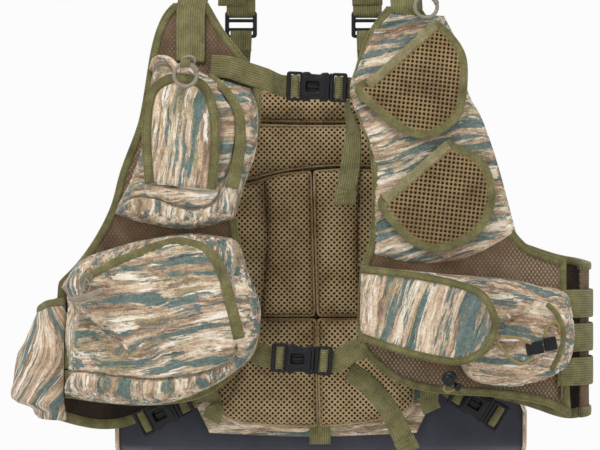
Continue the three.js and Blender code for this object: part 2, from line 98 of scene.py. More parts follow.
def addStage():
    low = cadBox[0][2] - 0.09
    around = [(math.cos(a) * 3.2, math.sin(a) * 3.2, low) for a in np.linspace(0, 2 * math.pi, 49)[:-1]]
    mesh = bpy.data.meshes.new("floor")
    mesh.from_pydata(around, [], [tuple(range(len(around)))])
    floor = bpy.data.objects.new("floor", mesh)
    bpy.context.collection.objects.link(floor)
    paint = bpy.data.materials.new("paleFloor")
    paint.use_nodes = True
    paint.node_tree.nodes["Principled BSDF"].inputs["Base Color"].default_value = (0.82, 0.82, 0.82, 1)
    paint.node_tree.nodes["Principled BSDF"].inputs["Roughness"].default_value = 0.8
    mesh.materials.append(paint)
    world = bpy.data.worlds.new("studio")
    world.use_nodes = True
    world.node_tree.nodes["Background"].inputs["Color"].default_value = (1, 1, 1, 1)
    world.node_tree.nodes["Background"].inputs["Strength"].default_value = 0.97
    bpy.context.scene.world = world
    bpy.context.scene.view_settings.view_transform = "Standard"


addCamera()
addLight("keyLight", (-0.8, -1.7, 1.9), 34, 0.7)
addLight("backLight", (0.6, 1.9, 1.7), 26, 0.8)
addStage()
print("camera, lights and floor are in place")

# ---- materials


def colour(code, alpha=1):  # a hex colour, made linear
    parts = [int(code[i : i + 2], 16) / 255 for i in (0, 2, 4)]
    return [p / 12.92 if p < 0.04045 else ((p + 0.055) / 1.055) ** 2.4 for p in parts] + [alpha]


def newMaterial(name, roughness, **sockets):
    material = bpy.data.materials.new(name)
    material.use_nodes = True
    shader = material.node_tree.nodes["Principled BSDF"]
    shader.inputs["Roughness"].default_value = roughness
    for socket, value in sockets.items():
        shader.inputs[socket.replace("_", " ")].default_value = value
    return material, material.node_tree, shader


def node(tree, kind, inputs=(), **settings):
    made = tree.nodes.new("ShaderNode" + kind)
    for key, value in settings.items():
        setattr(made, key, value)
    for key, value in dict(inputs).items():
        if isinstance(value, bpy.types.NodeSocket):
            tree.links.new(value, made.inputs[key])
        else:
            made.inputs[key].default_value = value
    return made


def ramp(tree, value, stops):
    made = node(tree, "ValToRGB", {"Fac": value})
    made.color_ramp.interpolation = "LINEAR"
    elements = made.color_ramp.elements
    while len(elements) < len(stops):
        elements.new(0.5)
    for element, (place, code) in zip(elements, stops):
        element.position = place
        element.color = colour(code) if isinstance(code, str) else (code, code, code, 1)
    return made.outputs["Color"]


def mixed(tree, share, first, second, blend="MIX"):
    made = node(tree, "Mix", data_type="RGBA", blend_type=blend)
    for slot, value in zip((0, 6, 7), (share, first, second)):
        if isinstance(value, bpy.types.NodeSocket):
            tree.links.new(value, made.inputs[slot])
        else:
            made.inputs[slot].default_value = value
    return made.outputs[2]


def maths(tree, operation, *values):
    return node(tree, "Math", dict(enumerate(values)), operation=operation).outputs[0]


# the cloth's own coordinates, in metres, kept on the mesh
def place(tree, stretch=(1, 1, 1), shift=(0, 0, 0)):
    given = node(tree, "Attribute", attribute_name="clothPlace").outputs["Vector"]
    return node(tree, "Mapping", {"Vector": given, "Scale": stretch, "Location": shift}).outputs["Vector"]


def noiseAt(tree, where, scale, detail=4, rough=0.55):
    inputs = {"Vector": where, "Scale": scale, "Detail": detail, "Roughness": rough}
    return node(tree, "TexNoise", inputs).outputs["Fac"]


def bands(tree, where, scale, axis):
    inputs = {"Vector": where, "Scale": scale, "Distortion": 0.6, "Detail": 1.0}
    return node(tree, "TexWave", inputs, bands_direction=axis).outputs["Fac"]


def finishBump(tree, shader, height, strength, distance):
    bump = node(tree, "Bump", {"Height": height, "Strength": strength, "Distance": distance})
    tree.links.new(bump.outputs["Normal"], shader.inputs["Normal"])


camoLook = {
    "ground": [(0.26, "6f5d50"), (0.40, "9c8874"), (0.50, "c3b09b"), (0.60, "dccebc"), (0.74, "f0e8dd")],
    "khaki": "8f8664",
    "bark": "705948",
    "cream": "f3ebdd",
    "green": "5d716e",
    "greenDeep": "42514f",
    "line": "463830",
    "weave": 420,
}


def camoCloth(name="camoCloth"):  # long ragged bark streaks, printed on a woven cloth
    material, tree, shader = newMaterial(name, 0.9, Sheen_Weight=0.05, Sheen_Roughness=0.5,
                                         Specular_IOR_Level=0.2)
    sway = place(tree, (9, 16, 16))
    wander = node(tree, "TexNoise", {"Vector": sway, "Scale": 1.0, "Detail": 3.0}).outputs["Color"]
    wander = node(tree, "VectorMath", {0: wander, 1: (0.5, 0.5, 0.5)}, operation="SUBTRACT").outputs[0]
    wander = node(tree, "VectorMath", {0: wander, 1: (0.03, 0.012, 0.03)}, operation="MULTIPLY").outputs[0]
    where = node(tree, "VectorMath", {0: place(tree), 1: wander}, operation="ADD").outputs[0]

    def streaks(stretch, shift, detail=6, rough=0.6):
        moved = node(tree, "Mapping", {"Vector": where, "Scale": stretch, "Location": shift}).outputs[0]
        return noiseAt(tree, moved, 1, detail, rough)

    skin = ramp(tree, streaks((10, 50, 74), (0, 0, 0), 8, 0.62), camoLook["ground"])
    fine = streaks((30, 220, 330), (3, 1, 0), 6, 0.75)
    skin = mixed(tree, 0.5, skin, ramp(tree, fine, [(0.32, "54453a"), (0.5, "b4a798"), (0.68, "fffcf6")]),
                 "OVERLAY")
    layers = [
        (camoLook["khaki"], (9, 52, 70), (7, 2, 5), 0.54, 0.575, 0.7),
        (camoLook["bark"], (10, 80, 120), (1, 8, 3), 0.56, 0.60, 0.75),
        (camoLook["cream"], (11, 80, 120), (9, 4, 4), 0.575, 0.605, 0.85),
        (camoLook["green"], (7, 50, 76), (5, 5, 9), 0.532, 0.552, 0.93),
        (camoLook["green"], (12, 100, 150), (15, 2, 6), 0.575, 0.595, 0.85),
        (camoLook["greenDeep"], (9, 90, 140), (2, 9, 1), 0.61, 0.625, 0.8),
        (camoLook["line"], (16, 190, 280), (4, 3, 8), 0.62, 0.65, 0.6),
    ]
    for paint, stretch, shift, low, high, share in layers:
        mask = ramp(tree, streaks(stretch, shift, 10, 0.66), [(low, 0.0), (high, share)])
        skin = mixed(tree, mask, skin, colour(paint))
    grain = noiseAt(tree, place(tree, (520, 520, 520)), 1, 3, 0.7)
    skin = mixed(tree, 0.55, skin, ramp(tree, grain, [(0.32, "888888"), (0.68, "e2e2e2")]), "OVERLAY")
    crumbs = noiseAt(tree, place(tree, (170, 330, 330), (3, 3, 3)), 1, 4, 0.8)
    skin = mixed(tree, 0.4, skin, ramp(tree, crumbs, [(0.36, "857f78"), (0.5, "bcbcbc"), (0.64, "f0ece6")]),
                 "OVERLAY")
    across = bands(tree, place(tree), camoLook["weave"], "X")
    along = bands(tree, place(tree), camoLook["weave"], "Z")
    weave = maths(tree, "MULTIPLY", across, along)
    skin = mixed(tree, 0.18, skin, ramp(tree, weave, [(0.0, "6b6b6b"), (1.0, "ffffff")]), "MULTIPLY")
    tree.links.new(skin, shader.inputs["Base Color"])
    finishBump(tree, shader, weave, 0.35, 0.0003)
    return material


def ribbedWebbing(name, base, dark, light, rib=420, cross=118):  # clothPlace runs along x and across y
    material, tree, shader = newMaterial(name, 0.75, Sheen_Weight=0.06, Specular_IOR_Level=0.25)
    along = bands(tree, place(tree), rib, "X")
    across = bands(tree, place(tree), cross, "Y")
    weave = maths(tree, "MULTIPLY", along, maths(tree, "ADD", maths(tree, "MULTIPLY", across, 0.5), 0.5))
    tone = noiseAt(tree, place(tree, (60, 60, 60)), 1, 5)
    skin = ramp(tree, tone, [(0.3, dark), (0.5, base), (0.72, light)])
    skin = mixed(tree, 0.35, skin, ramp(tree, weave, [(0.0, "686868"), (0.8, "ffffff")]), "MULTIPLY")
    skin = mixed(tree, 0.4, skin, ramp(tree, across, [(0.1, "6f6c5c"), (0.55, "ffffff")]), "MULTIPLY")
    fuzz = noiseAt(tree, place(tree, (300, 420, 420)), 1, 3, 0.75)
    skin = mixed(tree, 0.5, skin, ramp(tree, fuzz, [(0.3, "929292"), (0.7, "dedede")]), "OVERLAY")
    tree.links.new(skin, shader.inputs["Base Color"])
    finishBump(tree, shader, maths(tree, "ADD", weave, across), 0.6, 0.0004)
    return material


# fine knitted mesh, in places with a painted pale highlight at the cell centres
def netCloth(name, base, dark, light, scale, paleHighlight=0.0):
    material, tree, shader = newMaterial(name, 0.9, Specular_IOR_Level=0.2)
    where = node(tree, "Mapping",
                 {"Vector": place(tree, (1, 1, 0.72)), "Rotation": (0, math.pi / 4, 0)}).outputs[0]
    cells = node(tree, "TexVoronoi", {"Vector": where, "Scale": scale, "Randomness": 0.1})
    eyelet = ramp(tree, cells.outputs["Distance"], [(0.25, 0.0), (0.42, 1.0)])
    tone = noiseAt(tree, place(tree, (25, 25, 25)), 1, 6, 0.65)
    skin = ramp(tree, tone, [(0.3, dark), (0.5, base), (0.75, light)])
    highlightPatches = ramp(tree, noiseAt(tree, place(tree, (9, 9, 9), (1, 2, 3)), 1, 3), [(0.5, 0.05), (0.64, 1.0)])
    # painted highlight: the pale colour c9b9a8 is mixed in at the cell centres, in noise patches
    share = maths(tree, "MULTIPLY", maths(tree, "SUBTRACT", 1.0, eyelet),
                  maths(tree, "MULTIPLY", highlightPatches, paleHighlight))
    skin = mixed(tree, share, skin, colour("c9b9a8"))
    skin = mixed(tree, 0.25, skin, ramp(tree, eyelet, [(0.0, "ffffff"), (1.0, "8a8a8a")]), "MULTIPLY")
    tree.links.new(skin, shader.inputs["Base Color"])
    finishBump(tree, shader, eyelet, 0.5, 0.0005)
    return material


def smoothCloth(name, base, light, weave=380):
    material, tree, shader = newMaterial(name, 0.75, Sheen_Weight=0.1, Specular_IOR_Level=0.25)
    across = bands(tree, place(tree), weave, "X")
    along = bands(tree, place(tree), weave, "Z")
    threads = maths(tree, "MAXIMUM", across, along)
    tone = noiseAt(tree, place(tree, (14, 14, 14)), 1, 6, 0.6)
    skin = mixed(tree, ramp(tree, tone, [(0.35, 0.0), (0.7, 1.0)]), colour(base), colour(light))
    skin = mixed(tree, 0.25, skin, ramp(tree, threads, [(0.0, "808080"), (1.0, "ffffff")]), "MULTIPLY")
    tree.links.new(skin, shader.inputs["Base Color"])
    finishBump(tree, shader, threads, 0.3, 0.0003)
    return material


def mouldedPlastic(name, base, light, roughness):
    material, tree, shader = newMaterial(name, roughness, Specular_IOR_Level=0.3)
    where = node(tree, "TexCoord").outputs["Object"]
    grain = noiseAt(tree, where, 1800, 3)
    wear = noiseAt(tree, where, 90, 6, 0.7)
    skin = mixed(tree, ramp(tree, wear, [(0.45, 0.0), (0.75, 1.0)]), colour(base), colour(light))
    tree.links.new(skin, shader.inputs["Base Color"])
    spread = node(tree, "MapRange", {"Value": wear, "To Min": roughness - 0.08, "To Max": roughness + 0.14})
    tree.links.new(spread.outputs[0], shader.inputs["Roughness"])
    finishBump(tree, shader, grain, 0.12, 0.0002)
    return material


def threadCloth(name, base, light):
    material, tree, shader = newMaterial(name, 0.75, Specular_IOR_Level=0.2)
    twist = bands(tree, node(tree, "TexCoord").outputs["Object"], 1200, "DIAGONAL")
    skin = mixed(tree, twist, colour(base), colour(light))
    tree.links.new(skin, shader.inputs["Base Color"])
    finishBump(tree, shader, twist, 0.4, 0.0003)
    return material


looks = {
    "camo": camoCloth(),
    "webbing": ribbedWebbing("oliveWebbing", "7e794f", "6a6541", "8c865c"),
    "binding": ribbedWebbing("oliveBinding", "7d784d", "67623e", "958e60", 420, 210),
    "hem": ribbedWebbing("khakiHem", "988f68", "857c58", "b0a67e", 420, 210),
    # the brown mesh carries a painted pale highlight at share 0.3
    "brownMesh": netCloth("brownMesh", "67533f", "4f3e30", "7d6853", 300, 0.3),
    # painted shade: a darker copy of the brown mesh, laid on the wings' inner faces where shade falls
    "paintedShadeMesh": netCloth("paintedShadeMesh", "332a22", "201914", "45392e", 290),
    # one tan net in two copies: painted lighter on the pads against the shade between them, painted darker in
    # the mesh pockets
    "net": netCloth("litTanNet", "b29a72", "8f7856", "cbb48b", 900),
    "shadedPocketNet": netCloth("shadedPocketNet", "927b56", "705c3f", "ab946b", 900),
    "dark": smoothCloth("darkLining", "4c3c2c", "5d4c39"),
    "grey": smoothCloth("greyCloth", "32333c", "40424b"),
    "plastic": mouldedPlastic("blackPlastic", "07080b", "15171d", 0.3),
    "ring": mouldedPlastic("greyTanPlastic", "807769", "968d7e", 0.5),
    "metal": mouldedPlastic("zipMetal", "7d745f", "958c76", 0.38),
    "thread": threadCloth("oliveThread", "474326", "6b6640"),
    "paleThread": threadCloth("paleThread", "b9a377", "d8c59a"),
    "mustard": threadCloth("mustardCord", "7f6d42", "9c8a58"),
}
looks["metal"].node_tree.nodes["Principled BSDF"].inputs["Metallic"].default_value = 0.85
print("materials are mixed")

# ---- tools for cloth, tape and stitches


# shares of a CAD node's width and height, as x and z; a third value marks a corner
def inBox(nodeName, points):
    low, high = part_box(nodeName)
    return [(low.x + p[0] * (high.x - low.x), low.z + p[1] * (high.z - low.z), *p[2:]) for p in points]


def nearest(points, ring, closed=True):  # distance to a line, the nearest point on it, and the place along it
    a = ring
    b = np.roll(ring, -1, axis=0) if closed else ring[1:]
    a = a if closed else ring[:-1]
    span = b - a
    share = np.einsum("pij,ij->pi", points[:, None] - a[None], span) / np.maximum((span**2).sum(1), 1e-12)
    share = np.clip(share, 0, 1)
    foot = a[None] + share[..., None] * span[None]
    gap = np.linalg.norm(points[:, None] - foot, axis=2)
    best = gap.argmin(1)
    rows = np.arange(len(points))
    return gap[rows, best], foot[rows, best], (best + share[rows, best]) / len(a)


def inside(points, ring):
    x, z = points[:, 0][:, None], points[:, 1][:, None]
    a, b = ring, np.roll(ring, -1, axis=0)
    crosses = (a[:, 1] > z) != (b[:, 1] > z)
    rise = np.where(b[:, 1] == a[:, 1], 1e-12, b[:, 1] - a[:, 1])
    return (crosses & (x < (b[:, 0] - a[:, 0]) * (z - a[:, 1]) / rise + a[:, 0])).sum(1) % 2 == 1


def rounded(distance, radius):  # a quarter round rising from an edge
    return np.sqrt(1 - (1 - np.clip(distance / radius, 0, 1)) ** 2)


def crease(points, line, width):  # 1 on a line, falling away on both sides
    return np.exp(-((nearest(points, line, False)[0] / width) ** 2))


def ripple(points, size, seed=0.0):
    return np.array([noise.noise(Vector((p[0] / size, p[1] / size, seed))) for p in points])


def newPiece(name, verts, faces, material, body, replaces=(), clothPlace=None, smooth=True):
    mesh = bpy.data.meshes.new(name)
    mesh.from_pydata([tuple(v) for v in verts], [], [tuple(int(i) for i in f) for f in faces])
    mesh.polygons.foreach_set("use_smooth", [smooth] * len(mesh.polygons))
    kept = mesh.attributes.new("clothPlace", "FLOAT_VECTOR", "POINT")
    kept.data.foreach_set("vector",
                          np.asarray(verts if clothPlace is None else clothPlace, np.float32).ravel())
    mesh.materials.append(looks[material])
    obj = bpy.data.objects.new(name, mesh)
    bpy.context.collection.objects.link(obj)
    if body:
        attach(obj, body)
    if replaces:
        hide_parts(*([replaces] if isinstance(replaces, str) else replaces))
    return obj


def turnedPlace(verts, turn, shift=0.0):  # the print's own coordinates, turned about the front
    c, s = math.cos(math.radians(turn)), math.sin(math.radians(turn))
    v = np.asarray(verts)
    return np.stack([v[:, 0] * c + v[:, 2] * s + shift, v[:, 1], v[:, 2] * c - v[:, 0] * s + shift], 1)


def patch(name, ring, front, back, material, body, step=5 * mm, turn=0.0, shift=0.0, replaces=(),
          warp=None, lines=(), gusset=None):
    low, high = ring.min(0), ring.max(0)
    rows = np.arange(low[1], high[1], step * 0.87)
    grid = [
        (x + (step / 2 if i % 2 else 0), z) for i,
        z in enumerate(rows) for x in np.arange(low[0], high[0], step)
    ]
    grid = np.array(grid)
    grid = grid[inside(grid, ring)]
    grid = grid[nearest(grid, ring)[0] > step * 0.55]
    for line in lines:  # rows of points on and beside a crease, so that it stays sharp
        across = unit(np.stack([np.gradient(line[:, 1]), -np.gradient(line[:, 0])], 1))
        beside = np.vstack([line + across * w for w in (-2.2 * mm, 0, 2.2 * mm)])
        beside = beside[inside(beside, ring)]
        beside = beside[nearest(beside, ring)[0] > 1.2 * mm]
        grid = np.vstack([grid[nearest(grid, line, False)[0] > 3.4 * mm], beside])
    flat = np.vstack([ring, grid])
    edges = [(i, (i + 1) % len(ring)) for i in range(len(ring))]
    found = delaunay_2d_cdt([Vector(p) for p in flat], edges, [list(range(len(ring)))], 1, 1e-7)
    flat = np.array([tuple(v) for v in found[0]])
    triangles = np.array(found[2])
    away = nearest(flat, ring)[0]
    yFront, yBack = front(flat, away), back(flat, away)
    count = len(flat)
    verts = np.vstack(
        [np.stack([flat[:, 0], yFront, flat[:, 1]], 1), np.stack([flat[:, 0], yBack, flat[:, 1]], 1)]
    )
    a, b, c = (flat[triangles[:, i]] for i in range(3))
    area = (b[:, 0] - a[:, 0]) * (c[:, 1] - a[:, 1]) - (b[:, 1] - a[:, 1]) * (c[:, 0] - a[:, 0])
    triangles = np.where((area > 0)[:, None], triangles, triangles[:, ::-1])
    faces = [tuple(t) for t in triangles] + [tuple(t[::-1] + count) for t in triangles]
    loop = borderLoop(triangles)
    faces += [(i, i + count, j + count, j) for i, j in loop]
    print("  ", name, len(verts), "points")
    printed = turnedPlace(verts, turn, shift)
    if material == "brownMesh":
        printed[:, 1] = 0
    if gusset:  # the strip of cloth round the face is cut the other way
        beyond = ~inside(verts[:, [0, 2]], gusset[0]) & gusset[1](verts[:, 0], verts[:, 2])
        printed[beyond] = turnedPlace(verts, turn + 84, shift + 0.6)[beyond]
    verts = warp(verts) if warp else verts
    return newPiece(name, verts, faces, material, body, replaces, printed)


def borderLoop(triangles):
    seen = {}
    for t in triangles:
        for i in range(3):
            seen[(t[i], t[(i + 1) % 3])] = True
    return [pair for pair in seen if (pair[1], pair[0]) not in seen]


def unit(v):
    return v / np.maximum(np.linalg.norm(v, axis=-1, keepdims=True), 1e-9)


def lineFrames(points, facing):  # tangent, width direction and normal at each point of a 3-D line
    tangent = unit(np.gradient(points, axis=0))
    facing = np.broadcast_to(np.asarray(facing, float), points.shape)
    across = unit(np.cross(tangent, facing))
    return tangent, across, np.cross(across, tangent)


tapeSection = [(-0.5, 0.0), (-0.49, 0.35), (-0.44, 0.5), (-0.22, 0.56), (0, 0.58), (0.22, 0.56), (0.44, 0.5),
               (0.49, 0.35), (0.5, 0.0), (0.49, -0.35), (0.44, -0.5), (0, -0.55), (-0.44, -0.5),
               (-0.49, -0.35)]


def strip(name, points, width, thick, facing, material, body, replaces=(), closed=False, across=None):
    points = np.asarray(points, float)
    tangent, side, normal = lineFrames(points, facing)
    if across is not None:  # the width direction itself, one for the whole strip or one for each point
        across = np.broadcast_to(np.asarray(across, float), points.shape)
        side = unit(across - tangent * np.einsum("ij,ij->i", across, tangent)[:, None])
        normal = np.cross(side, tangent)
    across = side
    if closed:
        tangent = unit(np.roll(points, -1, 0) - np.roll(points, 1, 0))
        across = unit(np.cross(tangent, np.broadcast_to(np.asarray(facing, float), points.shape)))
        normal = np.cross(across, tangent)
    width = np.broadcast_to(np.asarray(width, float), (len(points),))
    section = np.array(tapeSection)
    around = len(section)
    verts = (
        points[:, None]
        + across[:, None] * (section[None, :, :1] * width[:, None, None])
        + normal[:, None] * section[None, :, 1:] * thick
    ).reshape(-1, 3)
    length = np.concatenate([[0], np.cumsum(np.linalg.norm(np.diff(points, axis=0), axis=1))])
    uv = np.zeros((len(points), around, 3))
    uv[..., 0] = length[:, None]
    uv[..., 1] = section[None, :, 0] * width[:, None]
    uv[..., 2] = section[None, :, 1] * thick
    rings = len(points)
    faces = []
    for i in range(rings if closed else rings - 1):
        j = (i + 1) % rings
        for k in range(around):
            m = (k + 1) % around
            faces.append((i * around + k, i * around + m, j * around + m, j * around + k))
    if not closed:
        faces.append(tuple(range(around))[::-1])
        faces.append(tuple((rings - 1) * around + k for k in range(around)))
    return newPiece(name, verts, faces, material, body, replaces, uv.reshape(-1, 3))


def stitches(name, lines, facing, material, body, pitch=3.2 * mm, long=2.3 * mm, wide=0.8 * mm,
             lift=0.2 * mm):
    verts, faces = [], []
    for line in lines:
        line = np.asarray(line, float)
        run = np.concatenate([[0], np.cumsum(np.linalg.norm(np.diff(line, axis=0), axis=1))])
        spots = np.arange(pitch / 2, run[-1] - pitch / 2, pitch)
        centres = np.stack([np.interp(spots, run, line[:, i]) for i in range(3)], 1)
        if len(centres) < 2:
            continue
        tangent, across, normal = lineFrames(centres, facing)
        for c, t, a, n in zip(centres, tangent, across, normal):
            base = len(verts)
            for s, w, h in ((-0.5, 0, -0.6), (-0.3, -0.5, 0.3), (-0.3, 0.5, 0.3), (-0.2, 0, 0.9),
                            (0.2, 0, 0.9), (0.3, 0.5, 0.3), (0.3, -0.5, 0.3), (0.5, 0, -0.6)):
                verts.append(c + t * s * long + a * w * wide + n * (lift + h * wide * 0.6))
            corners = [(0, 1, 3), (0, 3, 2), (1, 6, 4, 3), (3, 4, 5, 2), (4, 6, 7), (4, 7, 5),
                       (0, 2, 5, 7), (0, 7, 6, 1)]
            faces += [tuple(base + i for i in f) for f in corners]
    return newPiece(name, verts, faces, material, body)


def shifted(points, facing, sideways, out=0.0):  # the same line, moved along its width and its normal
    points = np.asarray(points, float)
    across, normal = lineFrames(points, facing)[1:]
    return points + across * sideways + normal * out


print("tools are ready")

# ---- the torso the whole vest is shaped on

torso = {"right": 0.300, "left": 0.320, "power": 2.6, "deep": 0.080, "shallow": 0.052}


def torsoY(x, z):
    half = np.where(np.asarray(x) > 0, torso["left"], torso["right"])
    share = np.minimum(np.abs(x) / half, 0.999)
    t = np.clip((np.asarray(z) + 0.240) / 0.170, 0, 1)
    depth = torso["deep"] + (torso["shallow"] - torso["deep"]) * t * t * (3 - 2 * t)
    return -depth * (1 - share ** torso["power"]) ** (1 / torso["power"])


def torsoSide(side, degrees, out):  # a point on the waist's outline, pushed out along its normal
    half = torso["left"] if side > 0 else torso["right"]
    angle = np.radians(degrees)
    x = half * np.cos(angle) ** (2 / torso["power"])
    y = torso["deep"] * np.sign(angle) * np.abs(np.sin(angle)) ** (2 / torso["power"])
    nx, ny = x / half**2, y / torso["deep"] ** 2
    size = np.sqrt(nx * nx + ny * ny)
    return side * (x + out * nx / size), y + out * ny / size


def onFront(points, out):  # x and z points lifted onto the front, out metres ahead of the torso
    points = np.asarray(points, float)
    return np.stack([points[:, 0], torsoY(points[:, 0], points[:, 1]) - out, points[:, 1]], 1)


# ---- front panels of brown mesh with bound edges

frontPanel = {
    "body": "vest",
    "thick": 3 * mm,
    "right": [(0.54, 1.004, 1), (0.48, 0.968), (0.429, 0.895), (0.383, 0.751), (0.351, 0.69), (0.272, 0.594),
              (0.222, 0.51), (0.143, 0.437), (0.042, 0.372), (-0.065, 0.323, 1), (-0.083, 0.183),
              (-0.074, 0.045, 1), (0.148, 0.032), (0.425, 0.026), (0.688, 0.045), (0.868, 0.101),
              (0.979, 0.161), (0.997, 0.232), (0.956, 0.316), (0.896, 0.426), (0.873, 0.51), (0.923, 0.583),
              (0.988, 0.667), (1.006, 0.763), (0.993, 0.815), (0.946, 0.854), (0.817, 0.931),
              (0.725, 1.004, 1)],
    "left": [(0.162, 1, 1), (0.062, 0.922), (-0.004, 0.801), (0.017, 0.737), (0.071, 0.657), (0.087, 0.592),
             (0.087, 0.512), (0.075, 0.423), (0.033, 0.35), (0.021, 0.21), (0.041, 0.156, 1), (0.174, 0.093),
             (0.357, 0.06), (0.685, 0.045), (0.892, 0.026), (1.033, -0.009, 1), (1.012, 0.184),
             (1.008, 0.378, 1), (0.963, 0.387), (0.822, 0.415), (0.722, 0.479), (0.639, 0.572),
             (0.568, 0.693), (0.506, 0.79), (0.427, 0.898), (0.336, 0.989, 1)],
    "binding": 9 * mm,
}


def addFrontPanels():
    fp = frontPanel
    for side in ("right", "left"):
        nodeName = side + "_front_panel"
        points = inBox(nodeName, fp[side])
        ring = outline(points)
        panel = patch(
            side + "Panel",
            ring,
            lambda flat, away: torsoY(flat[:, 0], flat[:, 1]) - fp["thick"] * rounded(away, 2 * mm)
            - 0.8 * mm * ripple(flat, 0.05, 3),
            lambda flat, away: torsoY(flat[:, 0], flat[:, 1]) - 0.2 * mm,
            "brownMesh", fp["body"], 7 * mm, replaces=nodeName,
        )
        closedTape(side + "PanelBinding", ring, fp["binding"], 3 * mm, 3.2 * mm, "binding", fp["body"])
        rows = [onFront(inner(ring, fp["binding"] * share), 5 * mm) for share in (0.22, 0.8)]
        stitches(side + "PanelStitches", rows, (0, -1, 0), "thread", fp["body"], 4 * mm,
                 lift=0.1 * mm)


def outline(points):  # a closed ring through points; a third value marks a corner
    spots = [np.array(p[:2], float) for p in points]
    corner = [len(p) > 2 for p in points]
    count = len(spots)
    made = []
    for i in range(count):
        a, b = spots[i], spots[(i + 1) % count]
        before = 2 * a - b if corner[i] else spots[i - 1]
        after = 2 * b - a if corner[(i + 1) % count] else spots[(i + 2) % count]
        steps = max(1, int(round(np.linalg.norm(b - a) / (4 * mm))))
        for t in np.arange(steps) / steps:
            bent = (3 * a - before - 3 * b + after) * t**3 + (2 * before - 5 * a + 4 * b - after) * t**2
            made.append(0.5 * (2 * a + (b - before) * t + bent))
    return np.array(made)


def closedTape(name, ring, width, out, thick, material, body, inset=None):
    step = np.stack([np.roll(ring[:, 1], -1) - np.roll(ring[:, 1], 1),
                     np.roll(ring[:, 0], 1) - np.roll(ring[:, 0], -1)], 1)
    normal = unit(step)
    middle = ring.mean(0)
    if np.mean(np.einsum("ij,ij->i", normal, middle - ring)) < 0:
        normal = -normal
    line = ring + normal * (width / 2 if inset is None else inset)
    line = smoothed(line, 2, True)
    return strip(name, onFront(line, out), width, thick, (0, -1, 0), material, body, closed=True)


def smoothed(line, times, closed=False):
    line = np.array(line, float)
    for _ in range(times):
        if closed:
            line = 0.25 * np.roll(line, 1, 0) + 0.5 * line + 0.25 * np.roll(line, -1, 0)
        else:
            line[1:-1] = 0.25 * line[:-2] + 0.5 * line[1:-1] + 0.25 * line[2:]
    return line


def flowLine(points, step=4 * mm):  # an open smooth line through 2-D or 3-D points
    spots = np.array(points, float)
    made = []
    for i in range(len(spots) - 1):
        a, b = spots[i], spots[i + 1]
        before = spots[i - 1] if i else 2 * a - b
        after = spots[i + 2] if i + 2 < len(spots) else 2 * b - a
        steps = max(1, int(round(np.linalg.norm(b - a) / step)))
        for t in np.arange(steps) / steps:
            bent = (3 * a - before - 3 * b + after) * t**3 + (2 * before - 5 * a + 4 * b - after) * t**2
            made.append(0.5 * (2 * a + (b - before) * t + bent))
    made.append(spots[-1])
    return np.array(made)


# ---- soft pockets: a rounded profile, its seams, folds and ripples

def pocketFront(ring, base, depth, edge, seams=(), folds=(), lean=(0, 0), crumple=1.2 * mm, size=0.04,
                seed=1):
    low, high = ring.min(0), ring.max(0)

    def front(flat, away):
        u, w = ((flat - low) / (high - low)).T
        swell = depth * (1 + lean[0] * (u - 0.5) + lean[1] * (w - 0.5))
        y = torsoY(flat[:, 0], flat[:, 1]) - base - swell * rounded(away, edge)
        for line, width, deep in seams:
            y = y + deep * crease(flat, line, width)
        for (cx, cz), reach, push in folds:
            y = y - push * np.exp(-(((flat[:, 0] - cx) / reach[0]) ** 2
                                    + ((flat[:, 1] - cz) / reach[1]) ** 2))
        slack = np.clip(away / edge, 0, 1)
        return y - slack * (crumple * ripple(flat, size,
                                             seed) + 0.45 * crumple * ripple(flat, size * 0.35, seed))

    return front


def puff(piece, seams=(), cap=5 * mm, loose=0.03, outer="front", pressure=4.0):
    # the outer cloth is simulated under pressure on a copy, held along its seams, and the result is kept
    scene = bpy.context.scene
    spots = np.array([tuple(v.co) for v in piece.data.vertices])
    count = len(spots) // 2
    free = np.arange(count) + (0 if outer == "front" else count)
    gap = np.linalg.norm(spots[:count] - spots[count:], axis=1)
    for line in seams:
        gap = np.minimum(gap, nearest(spots[free][:, [0, 2]], line, False)[0] * 1.6)
    held = np.setdiff1d(np.arange(2 * count), free[gap > 3.4 * mm])
    trial = bpy.data.objects.new(piece.name + "Trial", piece.data.copy())
    scene.collection.objects.link(trial)
    trial.vertex_groups.new(name="held").add([int(i) for i in held], 1.0, "REPLACE")
    cloth = trial.modifiers.new("puff", "CLOTH")
    cloth.settings.quality = 6
    cloth.settings.mass = 0.3
    cloth.settings.tension_stiffness = cloth.settings.compression_stiffness = 12
    cloth.settings.bending_stiffness = 0.6
    cloth.settings.use_pressure = True
    cloth.settings.uniform_pressure_force = pressure
    cloth.settings.shrink_min = -loose
    cloth.settings.vertex_group_mass = "held"
    cloth.settings.effector_weights.gravity = 0
    cloth.point_cache.frame_start, cloth.point_cache.frame_end = 1, 20
    for step in range(1, 21):
        scene.frame_set(step)
    swollen = trial.evaluated_get(bpy.context.evaluated_depsgraph_get()).data
    moved = np.array([tuple(v.co) for v in swollen.vertices]) - spots
    length = np.linalg.norm(moved, axis=1, keepdims=True)
    spots = spots + moved * np.minimum(1, cap / np.maximum(length, 1e-9))
    piece.data.vertices.foreach_set("co", spots.astype(np.float32).ravel())
    piece.data.update()
    bpy.data.objects.remove(trial, do_unlink=True)
    scene.frame_set(1)
    print("   puffed", piece.name, "by up to", round(float(np.minimum(length, cap).max()) * 1000, 1), "mm")


# the finished cloth, found by looking at it from ahead, or from behind with -1
def surfaceOf(piece, front, ahead=1):
    data = piece.data
    tree = BVHTree.FromPolygons([v.co.copy() for v in data.vertices],
                                [tuple(p.vertices) for p in data.polygons])

    def found(flat, away):
        heights = front(flat, away)
        for i, (x, z) in enumerate(flat[:, :2]):
            spot = tree.ray_cast(Vector((x, -0.4 * ahead, z)), Vector((0, ahead, 0)))[0]
            if spot:
                heights[i] = spot.y
        return heights

    return found


def flatBack(base):
    return lambda flat, away: torsoY(flat[:, 0], flat[:, 1]) - base


